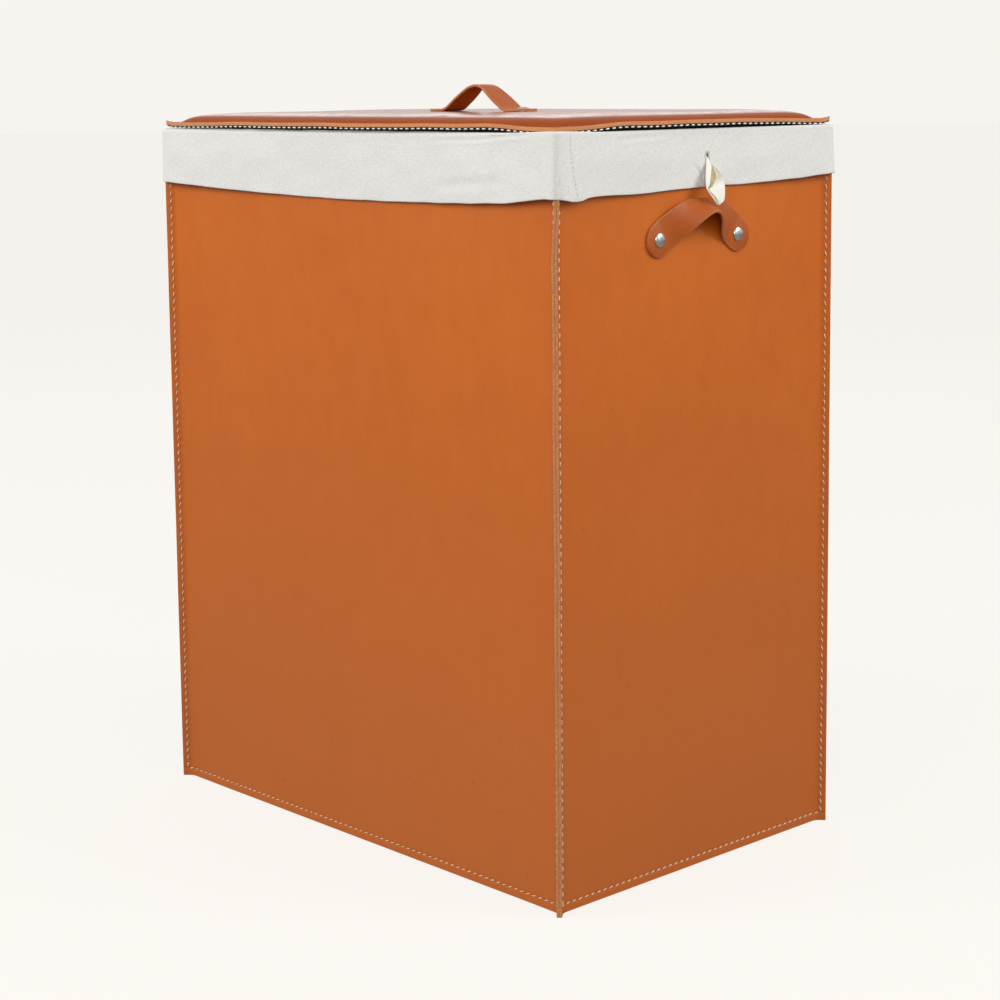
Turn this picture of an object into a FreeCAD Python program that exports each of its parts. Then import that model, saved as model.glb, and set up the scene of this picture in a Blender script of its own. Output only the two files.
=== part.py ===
"""Lidded leather laundry hamper with a folded fabric liner, in millimetres.

Frame: +Z up, origin at the centre of the footprint on the floor, X along the long side.
The front faces -Y, and the two carrying handles are on the left (-X) and right (+X) walls.
"""
import FreeCAD
import Part

import os
from math import cos, radians, sin

import Sketcher
from FreeCAD import Placement, Rotation, Vector

DIMENSIONS = {
    # leather body
    "body_width": 500.0,
    "body_depth": 320.0,
    "wall_height": 606.0,
    "leather": 2.2,
    "board": 3.0,
    "lining": 1.0,
    "flange_reach": 10.6,
    "bend_radius": 4.0,
    "skirt": 14.0,
    # rivets and washers
    "shank_radius": 1.6,
    "cap_radius": 5.8,
    "cap_height": 1.8,
    "washer_radius": 5.0,
    "washer": 0.6,
    # carrying handles on the left and right walls
    "handle_level": 523.0,
    "handle_spacing": 94.4,
    "handle_tab_radius": 15.0,
    "handle_cap_margin": 1.0,
    "handle_waist": 20.0,
    "handle_rise": 27.5,
    "handle_bulge": 12.5,
    "handle_tilt": 56.0,
    "handle_slope": 42.0,
    "handle_tab_run": 14.0,
    "handle_crown_run": 14.0,
    # removable fabric liner, folded over the rim as a cuff
    "liner_gap": 0.5,
    "fabric": 1.2,
    "rim_gap": 0.4,
    "cuff": 1.6,
    "long_cuff_bottom": 554.0,
    "end_cuff_bottom": 561.0,
    "cuff_stand_off": 0.6,
    "tape_skin": 0.4,
    "tape_width": 13.0,
    "tape_level": 586.0,
    "tape_side": 8.0,
    "buttonhole_length": 15.0,
    "buttonhole_width": 3.0,
    "buttonhole_rim": 2.0,
    "buttonhole_thread": 0.5,
    "buttonhole_lift": 0.05,
    "tape_fold": 2.0,
    "tape_double": 1.6,
    "tape_lift": 0.8,
    "tape_drop": 33.0,
    "tape_swing": 11.0,
    # padded lid
    "lid_overhang": 5.5,
    "lid_gap": 0.3,
    "lid_lining": 1.2,
    "lid_leather": 2.4,
    "lid_corner_radius": 6.0,
    "lid_border": 9.0,
    "dome_rise": 4.5,
    "dome_slope": 4.5,
    "crown_rise": 4.3,
    "crown_half_length": 120.0,
    "crown_half_width": 60.0,
    "dome_corner_radius": 10.0,
    # lid handle
    "grip_width": 25.0,
    "grip_length": 115.0,
    "grip_rivet_inset": 9.0,
    "grip_tab": 17.0,
    "grip_height": 24.0,
    "grip_slope": 36.0,
    "grip_root_radius": 10.0,
}

SIDE_TURN = {"front": 0.0, "right": 90.0, "back": 180.0, "left": 270.0}
SAME_POINT = 1e-3  # distance under which two points are one


def new_sheet(doc):
    """The driving dimensions, one named cell each."""
    sheet = doc.addObject("Spreadsheet::Sheet", "dims")
    for row, (name, number) in enumerate(DIMENSIONS.items(), start=1):
        sheet.set(f"A{row}", name)
        sheet.set(f"B{row}", str(number))
        sheet.setAlias(f"B{row}", name)
    doc.recompute()
    return sheet


def half_sizes(side):
    """Half the length of a side and its distance from the centre, as expressions."""
    if side in ("front", "back"):
        return "dims.body_width / 2", "dims.body_depth / 2"
    return "dims.body_depth / 2", "dims.body_width / 2"


FLOOR_TOP = "(dims.skirt + dims.leather)"
BOARD_FACE = "(dims.leather + dims.board)"
LINING_FACE = f"({BOARD_FACE} + dims.lining)"
LINER_FACE = f"({LINING_FACE} + dims.liner_gap)"
LINER_BOTTOM = f"({FLOOR_TOP} + dims.board + dims.lining + dims.liner_gap)"
RIM_TOP = "(dims.wall_height + dims.rim_gap)"
CUFF_TOP = f"({RIM_TOP} + dims.cuff)"
LID_BOTTOM = f"({CUFF_TOP} + dims.lid_gap)"
LID_BOARD_BOTTOM = f"({LID_BOTTOM} + dims.lid_lining)"
LID_BORDER_TOP = f"({LID_BOARD_BOTTOM} + dims.lid_leather)"
DOME_TOP = f"({LID_BORDER_TOP} + dims.dome_rise)"
CROWN_TOP = f"({DOME_TOP} + dims.crown_rise)"


class Model:
    """The document, its sheet and the named sub-parts."""

    def __init__(self):
        self.doc = FreeCAD.newDocument("hamper")
        self.sheet = new_sheet(self.doc)
        self.nodes = []

    def size(self, name):
        return float(getattr(self.sheet, name))

    def value(self, expression):
        return float(self.sheet.evalExpression(expression))

    def keep(self, piece):
        """Marks a finished sub-part for export."""
        self.nodes.append(piece)
        return piece

    def body(self, name):
        return self.doc.addObject("PartDesign::Body", name)


def origin_plane(body, role):
    return next(item for item in body.Origin.OriginFeatures if item.Role == role)


def new_sketch(body, name, plane, level):
    sketch = body.newObject("Sketcher::SketchObject", name)
    sketch.AttachmentSupport = [(origin_plane(body, plane), "")]
    sketch.MapMode = "FlatFace"
    sketch.setExpression("AttachmentOffset.Base.z", level)
    return sketch


def drive_point(sketch, element, position, x_expression, y_expression, point):
    """Ties one sketch point to a pair of sheet expressions."""
    for kind, expression, number in (
        ("DistanceX", x_expression, point.x),
        ("DistanceY", y_expression, point.y),
    ):
        index = sketch.addConstraint(Sketcher.Constraint(kind, -1, 1, element, position, number))
        sketch.setExpression(f"Constraints[{index}]", expression)


def arc_between(start, end, radius, turn):
    """The short arc between two points; turn is +1 to bulge to the left of the way, -1 to the right.

    It always runs counter-clockwise, as sketch arcs do.
    """
    chord = end - start
    half = chord.Length / 2
    left = Vector(-chord.y, chord.x, 0).normalize()
    sagitta = radius - (radius * radius - half * half) ** 0.5
    middle = (start + end) / 2 + left * (turn * sagitta)
    if turn > 0:
        start, end = end, start
    return Part.Arc(start, middle, end)


def outline(model, body, name, corners, plane="XY_Plane", level="0", arcs=None):
    """A closed sketch through corners, each a pair of expressions.

    arcs gives the sides that are round: side number to (radius expression, turn).
    """
    arcs = arcs or {}
    sketch = new_sketch(body, name, plane, level)
    points = [Vector(model.value(x), model.value(y), 0) for x, y in corners]
    ends = []
    for side, start in enumerate(points):
        end = points[(side + 1) % len(points)]
        if side in arcs:
            radius, turn = arcs[side]
            sketch.addGeometry(arc_between(start, end, model.value(radius), turn), False)
            index = sketch.addConstraint(Sketcher.Constraint("Radius", side, model.value(radius)))
            sketch.setExpression(f"Constraints[{index}]", radius)
        else:
            sketch.addGeometry(Part.LineSegment(start, end), False)
        forward = sketch.Geometry[side].StartPoint.distanceToPoint(start) < SAME_POINT
        ends.append((1, 2) if forward else (2, 1))
    for side, (x_expression, y_expression) in enumerate(corners):
        before = (side - 1) % len(points)
        joint = Sketcher.Constraint("Coincident", before, ends[before][1], side, ends[side][0])
        sketch.addConstraint(joint)
        drive_point(sketch, side, ends[side][0], x_expression, y_expression, points[side])
    return sketch


def rectangle(model, body, name, half_x, y_low, y_high, plane="XY_Plane", level="0"):
    corners = [(f"-({half_x})", y_low), (half_x, y_low), (half_x, y_high), (f"-({half_x})", y_high)]
    return outline(model, body, name, corners, plane, level)


def rounded_rectangle(model, body, name, half_x, half_y, radius, level):
    """A centred rectangle with four round corners."""
    near_x = f"({half_x}) - ({radius})"
    near_y = f"({half_y}) - ({radius})"
    corners = [
        (f"-({near_x})", f"-({half_y})"),
        (near_x, f"-({half_y})"),
        (half_x, f"-({near_y})"),
        (half_x, near_y),
        (near_x, half_y),
        (f"-({near_x})", half_y),
        (f"-({half_x})", near_y),
        (f"-({half_x})", f"-({near_y})"),
    ]
    arcs = {side: (radius, -1) for side in (1, 3, 5, 7)}
    return outline(model, body, name, corners, level=level, arcs=arcs)


def circles(model, body, name, centres, radius, plane="XY_Plane", level="0"):
    sketch = new_sketch(body, name, plane, level)
    for element, (x_expression, y_expression) in enumerate(centres):
        centre = Vector(model.value(x_expression), model.value(y_expression), 0)
        circle = Part.Circle(centre, Vector(0, 0, 1), model.value(radius))
        sketch.addGeometry(circle, False)
        drive_point(sketch, element, 3, x_expression, y_expression, centre)
        index = sketch.addConstraint(Sketcher.Constraint("Radius", element, model.value(radius)))
        sketch.setExpression(f"Constraints[{index}]", radius)
    return sketch


def pad(body, sketch, length, middle=False):
    feature = body.newObject("PartDesign::Pad", f"{sketch.Name}_pad")
    feature.Profile = sketch
    feature.setExpression("Length", length)
    if middle:
        feature.SideType = "Symmetric"
    return feature


def pocket(body, sketch, length, upward=True):
    feature = body.newObject("PartDesign::Pocket", f"{sketch.Name}_pocket")
    feature.Profile = sketch
    feature.Reversed = upward
    feature.setExpression("Length", length)
    return feature


def drill(body, sketch):
    """Holes right through the body along the sketch's normal."""
    feature = body.newObject("PartDesign::Pocket", f"{sketch.Name}_drill")
    feature.Profile = sketch
    feature.Type = "ThroughAll"
    feature.SideType = "Symmetric"
    return feature


def round_upright_edges(model, body, name, corners, radius):
    """Rounds the upright edges that stand on the given corners."""
    model.doc.recompute()
    base = body.Tip
    wanted = [Vector(model.value(x), model.value(y), 0) for x, y in corners]
    found = []
    for number, edge in enumerate(base.Shape.Edges, start=1):
        low, high = edge.Vertexes[0].Point, edge.Vertexes[-1].Point
        foot = Vector(low.x, low.y, 0)
        upright = foot.distanceToPoint(Vector(high.x, high.y, 0)) < SAME_POINT
        if upright and any(foot.distanceToPoint(corner) < SAME_POINT for corner in wanted):
            found.append(f"Edge{number}")
    feature = body.newObject("PartDesign::Fillet", name)
    feature.Base = (base, found)
    feature.setExpression("Radius", radius)
    return feature


def turn_to_side(body, side):
    body.Placement = Placement(Vector(0, 0, 0), Rotation(Vector(0, 0, 1), SIDE_TURN[side]))


def handle_holes(model, body, side):
    """Rivet holes of a carrying handle, through a piece built as a front one."""
    if side not in ("left", "right"):
        return
    half = "dims.handle_spacing / 2"
    centres = [(f"-{half}", "dims.handle_level"), (half, "dims.handle_level")]
    drill(body, circles(model, body, f"{body.Name}_holes", centres, "dims.shank_radius", "XZ_Plane"))


# ---- leather body ------------------------------------------------------------------------

def wall_leather(model, side):
    """One wall panel whose upright edges bend outward into half of a pinched corner flange."""
    length, distance = half_sizes(side)
    body = model.body(f"{side}_wall_leather")
    inner = (f"({length} - dims.leather)", f"(dims.leather - {distance})")
    reach = "dims.flange_reach / sqrt(2)"
    edge = "dims.leather / sqrt(2)"
    tip_inner = (f"{inner[0]} + {reach}", f"{inner[1]} - {reach}")
    tip_outer = (f"{tip_inner[0]} - {edge}", f"{tip_inner[1]} - {edge}")
    bend = (f"{length} - dims.leather * sqrt(2)", f"-({distance})")
    right = [bend, tip_outer, tip_inner, inner]
    left = [(f"-({x})", y) for x, y in reversed(right)]
    sketch = outline(model, body, f"{side}_wall_plan", right + left)
    pad(body, sketch, "dims.wall_height")
    mirrored = [(f"-({x})", y) for x, y in (bend, inner)]
    round_upright_edges(model, body, f"{side}_outer_bends", [bend, mirrored[0]], "dims.bend_radius")
    inner_radius = "dims.bend_radius + dims.leather"
    round_upright_edges(model, body, f"{side}_inner_bends", [inner, mirrored[1]], inner_radius)
    handle_holes(model, body, side)
    turn_to_side(body, side)
    return model.keep(body)


def base_leather(model):
    """The floor panel with its edge turned down inside the walls."""
    body = model.body("base_leather")
    half_x, half_y = "dims.body_width / 2 - dims.leather", "dims.body_depth / 2 - dims.leather"
    panel = rectangle(model, body, "base_plan", half_x, f"-({half_y})", half_y)
    pad(body, panel, FLOOR_TOP)
    half_x, half_y = f"{half_x} - dims.leather", f"{half_y} - dims.leather"
    hollow = rectangle(model, body, "base_hollow", half_x, f"-({half_y})", half_y)
    pocket(body, hollow, "dims.skirt")
    return model.keep(body)


def wall_slab(model, name, side, half_length, near, far, low, high):
    """A flat upright layer of a wall, between two depths behind its outer face."""
    distance = half_sizes(side)[1]
    body = model.body(name)
    sketch = rectangle(model, body, f"{name}_plan", half_length, f"{near} - {distance}",
                       f"{far} - {distance}", level=low)
    pad(body, sketch, f"{high} - {low}")
    return body


def wall_board(model, side):
    """Stiffener board; the end boards stand between the long ones."""
    length = half_sizes(side)[0]
    shorter = "0" if side in ("front", "back") else "dims.board"
    half_length = f"{length} - dims.leather - {shorter}"
    body = wall_slab(model, f"{side}_board", side, half_length, "dims.leather", BOARD_FACE,
                     FLOOR_TOP, "dims.wall_height")
    handle_holes(model, body, side)
    turn_to_side(body, side)
    return model.keep(body)


def wall_lining(model, side):
    """Dark lining glued over a board, with shallow seats for the handle's rivet washers."""
    length = half_sizes(side)[0]
    shorter = "0" if side in ("front", "back") else "dims.lining"
    half_length = f"{length} - {BOARD_FACE} - {shorter}"
    body = wall_slab(model, f"{side}_lining", side, half_length, BOARD_FACE, LINING_FACE,
                     f"({FLOOR_TOP} + dims.board)", "dims.wall_height")
    if side in ("left", "right"):
        half = "dims.handle_spacing / 2"
        centres = [(f"-{half}", "dims.handle_level"), (half, "dims.handle_level")]
        level = f"dims.body_width / 2 - {BOARD_FACE}"
        seats = circles(model, body, f"{side}_washer_seats", centres, "dims.washer_radius",
                        "XZ_Plane", level)
        pocket(body, seats, "dims.washer", upward=False)
    turn_to_side(body, side)
    return model.keep(body)


def base_layer(model, name, inset, low, thickness):
    """A flat layer of the floor, a given inset from the body's outer faces."""
    body = model.body(name)
    half_y = f"dims.body_depth / 2 - {inset}"
    sketch = rectangle(model, body, f"{name}_plan", f"dims.body_width / 2 - {inset}",
                       f"-({half_y})", half_y, level=low)
    pad(body, sketch, thickness)
    return model.keep(body)


# ---- rivets ------------------------------------------------------------------------------

def rivet(model, name, grip):
    """A domed cap on a shank; the underside of the cap is at local z = 0."""
    body = model.body(name)
    dome = "(dims.cap_radius ^ 2 + dims.cap_height ^ 2) / (2 * dims.cap_height)"
    corners = [
        ("0", f"-({grip})"),
        ("dims.shank_radius", f"-({grip})"),
        ("dims.shank_radius", "0"),
        ("dims.cap_radius", "0"),
        ("0", "dims.cap_height"),
    ]
    sketch = outline(model, body, f"{name}_profile", corners, "XZ_Plane", arcs={3: (dome, -1)})
    revolve(body, sketch)
    return body


def washer(model, name):
    """A flat ring whose top face is at local z = 0."""
    body = model.body(name)
    corners = [
        ("dims.shank_radius", "-dims.washer"),
        ("dims.washer_radius", "-dims.washer"),
        ("dims.washer_radius", "0"),
        ("dims.shank_radius", "0"),
    ]
    revolve(body, outline(model, body, f"{name}_profile", corners, "XZ_Plane"))
    return body


def revolve(body, sketch):
    feature = body.newObject("PartDesign::Revolution", f"{sketch.Name}_turned")
    feature.Profile = sketch
    feature.ReferenceAxis = (sketch, ["V_Axis"])
    feature.Angle = 360
    return feature


def pair(model, name, make, places):
    """Two like pieces in one node."""
    group = model.doc.addObject("Part::Compound", name)
    members = []
    for number, place in enumerate(places, start=1):
        piece = make(f"{name}_{number}")
        piece.Placement = place
        members.append(piece)
    group.Links = members
    return model.keep(group)


def handle_places(model, side, outward):
    """Where a side handle's two fasteners sit, their local z pointing out of the wall."""
    sign = 1 if side == "right" else -1
    facing = Rotation(Vector(0, 0, 1), Vector(sign, 0, 0))
    across = model.size("handle_spacing") / 2
    reach = model.size("body_width") / 2 + outward
    level = model.size("handle_level")
    return [Placement(Vector(sign * reach, y, level), facing) for y in (-across, across)]


def handle_rivets(model, side):
    grip = f"{BOARD_FACE} + dims.leather"
    places = handle_places(model, side, model.size("leather"))
    return pair(model, f"{side}_handle_rivets", lambda name: rivet(model, name, grip), places)


def handle_washers(model, side):
    places = handle_places(model, side, -model.value(BOARD_FACE))
    return pair(model, f"{side}_handle_washers", lambda name: washer(model, name), places)


# ---- carrying handles --------------------------------------------------------------------

OUTWARD = Vector(1, 0, 0)


def smooth_step(share):
    return share * share * (3 - 2 * share)


def bezier(points, share):
    rest = 1 - share
    weights = (rest ** 3, 3 * rest ** 2 * share, 3 * rest * share ** 2, share ** 3)
    total = Vector(0, 0, 0)
    for weight, point in zip(weights, points):
        total = total + point * weight
    return total


def bezier_slope(points, share):
    """The direction the curve runs in."""
    rest = 1 - share
    weights = (rest ** 2, 2 * rest * share, share ** 2)
    total = Vector(0, 0, 0)
    for weight, start, end in zip(weights, points, points[1:]):
        total = total + (end - start) * weight
    return total


class SideStrap:
    """A leather strap riveted flat at both ends, whose middle rises, leans back and bulges out.

    Local frame of the right handle: x out of the wall's face, y along it, z up.
    """

    sections = 12  # between a tab and the crown
    twist_delay = 1.5  # above 1, the strap stays flat longer before it leans

    def __init__(self, model):
        self.thick = model.size("leather")
        self.hole_radius = model.size("shank_radius")
        self.tab_radius = model.size("handle_tab_radius")
        self.waist = model.size("handle_waist") / 2
        slope = radians(model.size("handle_slope"))
        tilt = radians(model.size("handle_tilt"))
        cos_slope, sin_slope = cos(slope), sin(slope)
        self.along = Vector(0, cos_slope, sin_slope)
        self.across = Vector(0, -sin_slope, cos_slope)
        self.lean = Vector(-sin(tilt), 0, cos(tilt))
        self.rivet = Vector(self.thick / 2, -model.size("handle_spacing") / 2, 0)
        self.flat = model.size("cap_radius") + model.size("handle_cap_margin")
        crown = Vector(model.size("handle_bulge"), 0, model.size("handle_rise"))
        start = self.rivet + self.along * self.flat
        self.poles = [
            start,
            start + self.along * (model.size("handle_tab_run") - self.flat),
            crown - Vector(0, model.size("handle_crown_run"), 0),
            crown,
        ]

    def section(self, share):
        """The strap's cross-section from the flat tab (0) to the crown (1), as four corners."""
        centre = bezier(self.poles, share)
        ahead = bezier_slope(self.poles, share).normalize()
        blend = smooth_step(share)
        twist = smooth_step(share ** self.twist_delay)
        width = self.across * (1 - twist) + self.lean * twist
        width = (width - ahead * width.dot(ahead)).normalize()
        normal = ahead.cross(width).normalize()
        width = width * (self.tab_radius - (self.tab_radius - self.waist) * blend)
        normal = normal * (self.thick / 2)
        return [centre + width + normal, centre - width + normal,
                centre - width - normal, centre + width - normal]

    def band(self):
        """The part of the strap between its two flat tabs."""
        left = [self.section(number / self.sections) for number in range(self.sections + 1)]
        right = [[mirror_y(corner) for corner in section] for section in reversed(left[:-1])]
        wires = [Part.makePolygon(section + section[:1]) for section in left + right]
        return Part.makeLoft(wires, True, False)

    def tab(self):
        """A round-ended flat tab whose rivet hole is centred on the round end."""
        base = self.rivet - Vector(self.thick / 2, 0, 0)
        edge = self.across * self.tab_radius
        run = self.along * self.flat
        round_end = Part.Arc(base + edge, base - self.along * self.tab_radius, base - edge)
        straight = Part.makePolygon([base - edge, base - edge + run, base + edge + run, base + edge])
        face = Part.Face(Part.Wire([round_end.toShape()] + straight.Edges))
        hole = Part.makeCylinder(self.hole_radius, self.thick, base, OUTWARD)
        return face.extrude(OUTWARD * self.thick).cut(hole)


def mirror_y(point):
    return Vector(point.x, -point.y, point.z)


def side_handle(model, side):
    """One carrying handle; the left one is the right one turned half round."""
    strap = SideStrap(model)
    tab = strap.tab()
    far_tab = tab.mirror(Vector(0, 0, 0), Vector(0, 1, 0))
    piece = model.doc.addObject("Part::Feature", f"{side}_handle_strap")
    piece.Shape = strap.band().fuse([tab, far_tab]).removeSplitter()
    sign = 1 if side == "right" else -1
    turn = 0 if side == "right" else 180
    place = Vector(sign * model.size("body_width") / 2, 0, model.size("handle_level"))
    piece.Placement = Placement(place, Rotation(Vector(0, 0, 1), turn))
    return model.keep(piece)


# ---- fabric liner ------------------------------------------------------------------------

def liner_panel(model, side):
    """One upright panel of the liner bag; the end panels stand between the long ones."""
    length = half_sizes(side)[0]
    shorter = "0" if side in ("front", "back") else "dims.fabric"
    half_length = f"{length} - {LINER_FACE} - {shorter}"
    body = wall_slab(model, f"liner_{side}", side, half_length, LINER_FACE,
                     f"{LINER_FACE} + dims.fabric", f"({LINER_BOTTOM} + dims.fabric)", RIM_TOP)
    turn_to_side(body, side)
    return model.keep(body)


class CuffPlan:
    """The cuff of one side seen from above, built as a front one.

    It passes round the square ends of the corner flanges, is mitred on the diagonals and
    falls back towards the wall between the corners.
    """

    def __init__(self, side):
        self.length, self.distance = half_sizes(side)
        self.flange = "(dims.flange_reach / sqrt(2) - dims.leather)"
        self.clear = "(dims.leather + dims.rim_gap) / sqrt(2)"

    def mitre(self, depth):
        """Where a layer, a depth out from the cuff's inner face, meets the diagonal."""
        out = f"({self.flange} + (dims.rim_gap + {depth}) / sqrt(2))"
        return f"{self.length} + {out}", f"-({self.distance}) - {out}"

    def shoulder(self, depth):
        """The layer's corner beside the end of the flange."""
        x, y = self.mitre("0")
        return (f"{x} - {self.clear} + tan(22.5) * {depth}",
                f"{y} - {self.clear} - {depth}")

    def bow(self, depth):
        """Radius of the layer's long arc from shoulder to shoulder."""
        x, y = self.shoulder(depth)
        sag = f"(-({y}) - {self.distance} - dims.cuff_stand_off - {depth})"
        return f"(({x}) ^ 2 + {sag} ^ 2) / (2 * {sag})"

    def layer(self, inner, outer):
        """Outline of the layer between two depths: corners and arcs for a sketch."""
        right = [self.shoulder(inner), self.mitre(inner), self.mitre(outer), self.shoulder(outer)]
        left = [(f"-({x})", y) for x, y in reversed(right)]
        return right + left, {3: (self.bow(outer), -1), 7: (self.bow(inner), 1)}

    def top(self, inside):
        """Outline of the fold over the rim, from the bag's inner face to the cuff's outer one."""
        x = f"{self.length} - {inside}"
        y = f"{inside} - {self.distance}"
        right = [(x, y), self.mitre("dims.cuff"), self.shoulder("dims.cuff")]
        left = [(f"-({px})", py) for px, py in reversed(right)]
        return right + left, {2: (self.bow("dims.cuff"), -1)}


def cuff(model, side):
    """One side of the cuff: the fold over the rim and the flap outside it, with a tape channel."""
    body = model.body(f"cuff_{side}")
    plan = CuffPlan(side)
    hem = "dims.long_cuff_bottom" if side in ("front", "back") else "dims.end_cuff_bottom"
    corners, arcs = plan.layer("0", "dims.cuff")
    flap = outline(model, body, f"cuff_{side}_flap", corners, level=hem, arcs=arcs)
    pad(body, flap, f"{RIM_TOP} - {hem}")
    corners, arcs = plan.top(f"({LINER_FACE} + dims.fabric)")
    fold = outline(model, body, f"cuff_{side}_fold", corners, level=RIM_TOP, arcs=arcs)
    pad(body, fold, "dims.cuff")
    channel = tape_layer(model, body, side, f"cuff_{side}_channel")
    pocket(body, channel, "dims.tape_width")
    if side == "right":
        cut_buttonhole(model, body)
    turn_to_side(body, side)
    return model.keep(body)


TAPE_LOW = "(dims.tape_level - dims.tape_width / 2)"


def tape_layer(model, body, side, name):
    """Plan of the drawstring tape inside the cuff."""
    corners, arcs = CuffPlan(side).layer("dims.tape_skin", "(dims.cuff - dims.tape_skin)")
    return outline(model, body, name, corners, level=TAPE_LOW, arcs=arcs)


def cut_buttonhole(model, body):
    """The slot in the outer layer of the right cuff that the tape comes out of."""
    slot = outline(model, body, "buttonhole_plan", slot_corners("0"), "XZ_Plane",
                   f"dims.body_width / 2 + dims.cuff_stand_off + dims.cuff - dims.tape_skin")
    pocket(body, slot, "2 * dims.tape_skin")


def slot_corners(margin):
    """The buttonhole, grown all round by a margin, in the plane of the right wall."""
    low = f"dims.tape_level - dims.buttonhole_length / 2 - {margin}"
    high = f"dims.tape_level + dims.buttonhole_length / 2 + {margin}"
    near = f"dims.tape_side - dims.buttonhole_width / 2 - {margin}"
    far = f"dims.tape_side + dims.buttonhole_width / 2 + {margin}"
    return [(near, low), (far, low), (far, high), (near, high)]


def channel_tape(model):
    """The flat tape all round inside the cuff, one closed ring."""
    ring = model.doc.addObject("Part::MultiFuse", "drawstring_tape")
    runs = []
    for side in SIDE_TURN:
        body = model.body(f"tape_run_{side}")
        pad(body, tape_layer(model, body, side, f"tape_run_{side}_plan"), "dims.tape_width")
        turn_to_side(body, side)
        runs.append(body)
    ring.Shapes = runs
    return model.keep(ring)


def buttonhole_stitching(model):
    """The worked edge round the slot."""
    body = model.body("buttonhole_stitching")
    level = "dims.body_width / 2 + dims.cuff_stand_off + dims.cuff + dims.buttonhole_lift"
    rim = outline(model, body, "buttonhole_rim_plan", slot_corners("dims.buttonhole_rim"),
                  "XZ_Plane", level)
    pad(body, rim, "dims.buttonhole_thread")
    hole = outline(model, body, "buttonhole_hole", slot_corners("0"), "XZ_Plane", level)
    pocket(body, hole, "dims.buttonhole_thread")
    turn_to_side(body, "right")
    return model.keep(body)


def tape_end(model):
    """The doubled tape hanging out of the buttonhole, in front of the handle."""
    body = model.body("drawstring_tape_end")
    face = "(dims.body_width / 2 + dims.cuff_stand_off + dims.cuff)"
    top = "(dims.tape_level + dims.tape_width / 2)"
    near, far = "dims.tape_side - dims.tape_fold / 2", "dims.tape_side + dims.tape_fold / 2"
    stub = outline(model, body, "tape_stub_plan",
                   [(near, TAPE_LOW), (far, TAPE_LOW), (far, top), (near, top)],
                   "XZ_Plane", f"{face} - dims.tape_skin + dims.buttonhole_lift")
    pad(body, stub, "dims.tape_skin + dims.tape_lift - dims.buttonhole_lift")
    back = f"({face} + dims.tape_lift)"
    tip = "dims.tape_level - dims.tape_drop"
    corners = [
        (f"-{back}", top),
        (f"-{back}", TAPE_LOW),
        (f"-{back} - dims.tape_swing", tip),
        (f"-{back} - dims.tape_swing - dims.tape_double", tip),
        (f"-{back} - dims.tape_double", TAPE_LOW),
        (f"-{back} - dims.tape_double", top),
    ]
    hang = outline(model, body, "tape_hang_profile", corners, "YZ_Plane", "dims.tape_side")
    pad(body, hang, "dims.tape_width", middle=True)
    turn_to_side(body, "right")
    return model.keep(body)


def liner_base(model):
    return base_layer(model, "liner_base", LINER_FACE, LINER_BOTTOM, "dims.fabric")


# ---- padded lid --------------------------------------------------------------------------

LID_X = "(dims.body_width / 2 + dims.lid_overhang)"
LID_Y = "(dims.body_depth / 2 + dims.lid_overhang)"


def lid_rectangle(model, body, name, inset, radius, level):
    return rounded_rectangle(model, body, name, f"{LID_X} - {inset}", f"{LID_Y} - {inset}",
                             radius, level)


def dome_sections(model, body, skin):
    """Sketches of the padded dome from its foot to its crown, a skin's thickness inside it."""
    foot_inset = f"(dims.lid_border + {skin})"
    radius = f"dims.dome_corner_radius - {skin}"
    foot = lid_rectangle(model, body, f"{body.Name}_foot", foot_inset, radius, LID_BORDER_TOP)
    shoulder = lid_rectangle(model, body, f"{body.Name}_shoulder",
                             f"({foot_inset} + dims.dome_slope)", radius, f"{DOME_TOP} - {skin}")
    crown = rounded_rectangle(model, body, f"{body.Name}_crown", "dims.crown_half_length",
                              "dims.crown_half_width", radius, f"{CROWN_TOP} - {skin}")
    return foot, shoulder, crown


def loft(body, kind, sections):
    feature = body.newObject(f"PartDesign::{kind}", f"{body.Name}_{kind}")
    feature.Profile = sections[0]
    feature.Sections = list(sections[1:])
    feature.Ruled = True
    return feature


def grip_rivet_holes(model, body):
    across = "(dims.grip_length / 2 - dims.grip_rivet_inset)"
    centres = [(f"-{across}", "0"), (across, "0")]
    drill(body, circles(model, body, f"{body.Name}_holes", centres, "dims.shank_radius"))


def lid_lining(model):
    """The dark underside, with shallow seats for the handle's rivet washers."""
    body = model.body("lid_lining")
    plan = lid_rectangle(model, body, "lid_lining_plan", "0", "dims.lid_corner_radius", LID_BOTTOM)
    pad(body, plan, "dims.lid_lining")
    across = "(dims.grip_length / 2 - dims.grip_rivet_inset)"
    seats = circles(model, body, "lid_washer_seats", [(f"-{across}", "0"), (across, "0")],
                    "dims.washer_radius", level=LID_BOARD_BOTTOM)
    pocket(body, seats, "dims.washer", upward=False)
    return model.keep(body)


def lid_board(model):
    """Stiffener inside the lid."""
    body = model.body("lid_board")
    plan = lid_rectangle(model, body, "lid_board_plan", "(dims.lid_border + dims.lid_leather)",
                         "dims.dome_corner_radius - dims.lid_leather", LID_BOARD_BOTTOM)
    pad(body, plan, "dims.lid_leather")
    grip_rivet_holes(model, body)
    return model.keep(body)


def lid_foam(model):
    """Thin padding between the board and the leather."""
    body = model.body("lid_foam")
    loft(body, "AdditiveLoft", dome_sections(model, body, "dims.lid_leather"))
    grip_rivet_holes(model, body)
    return model.keep(body)


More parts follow.
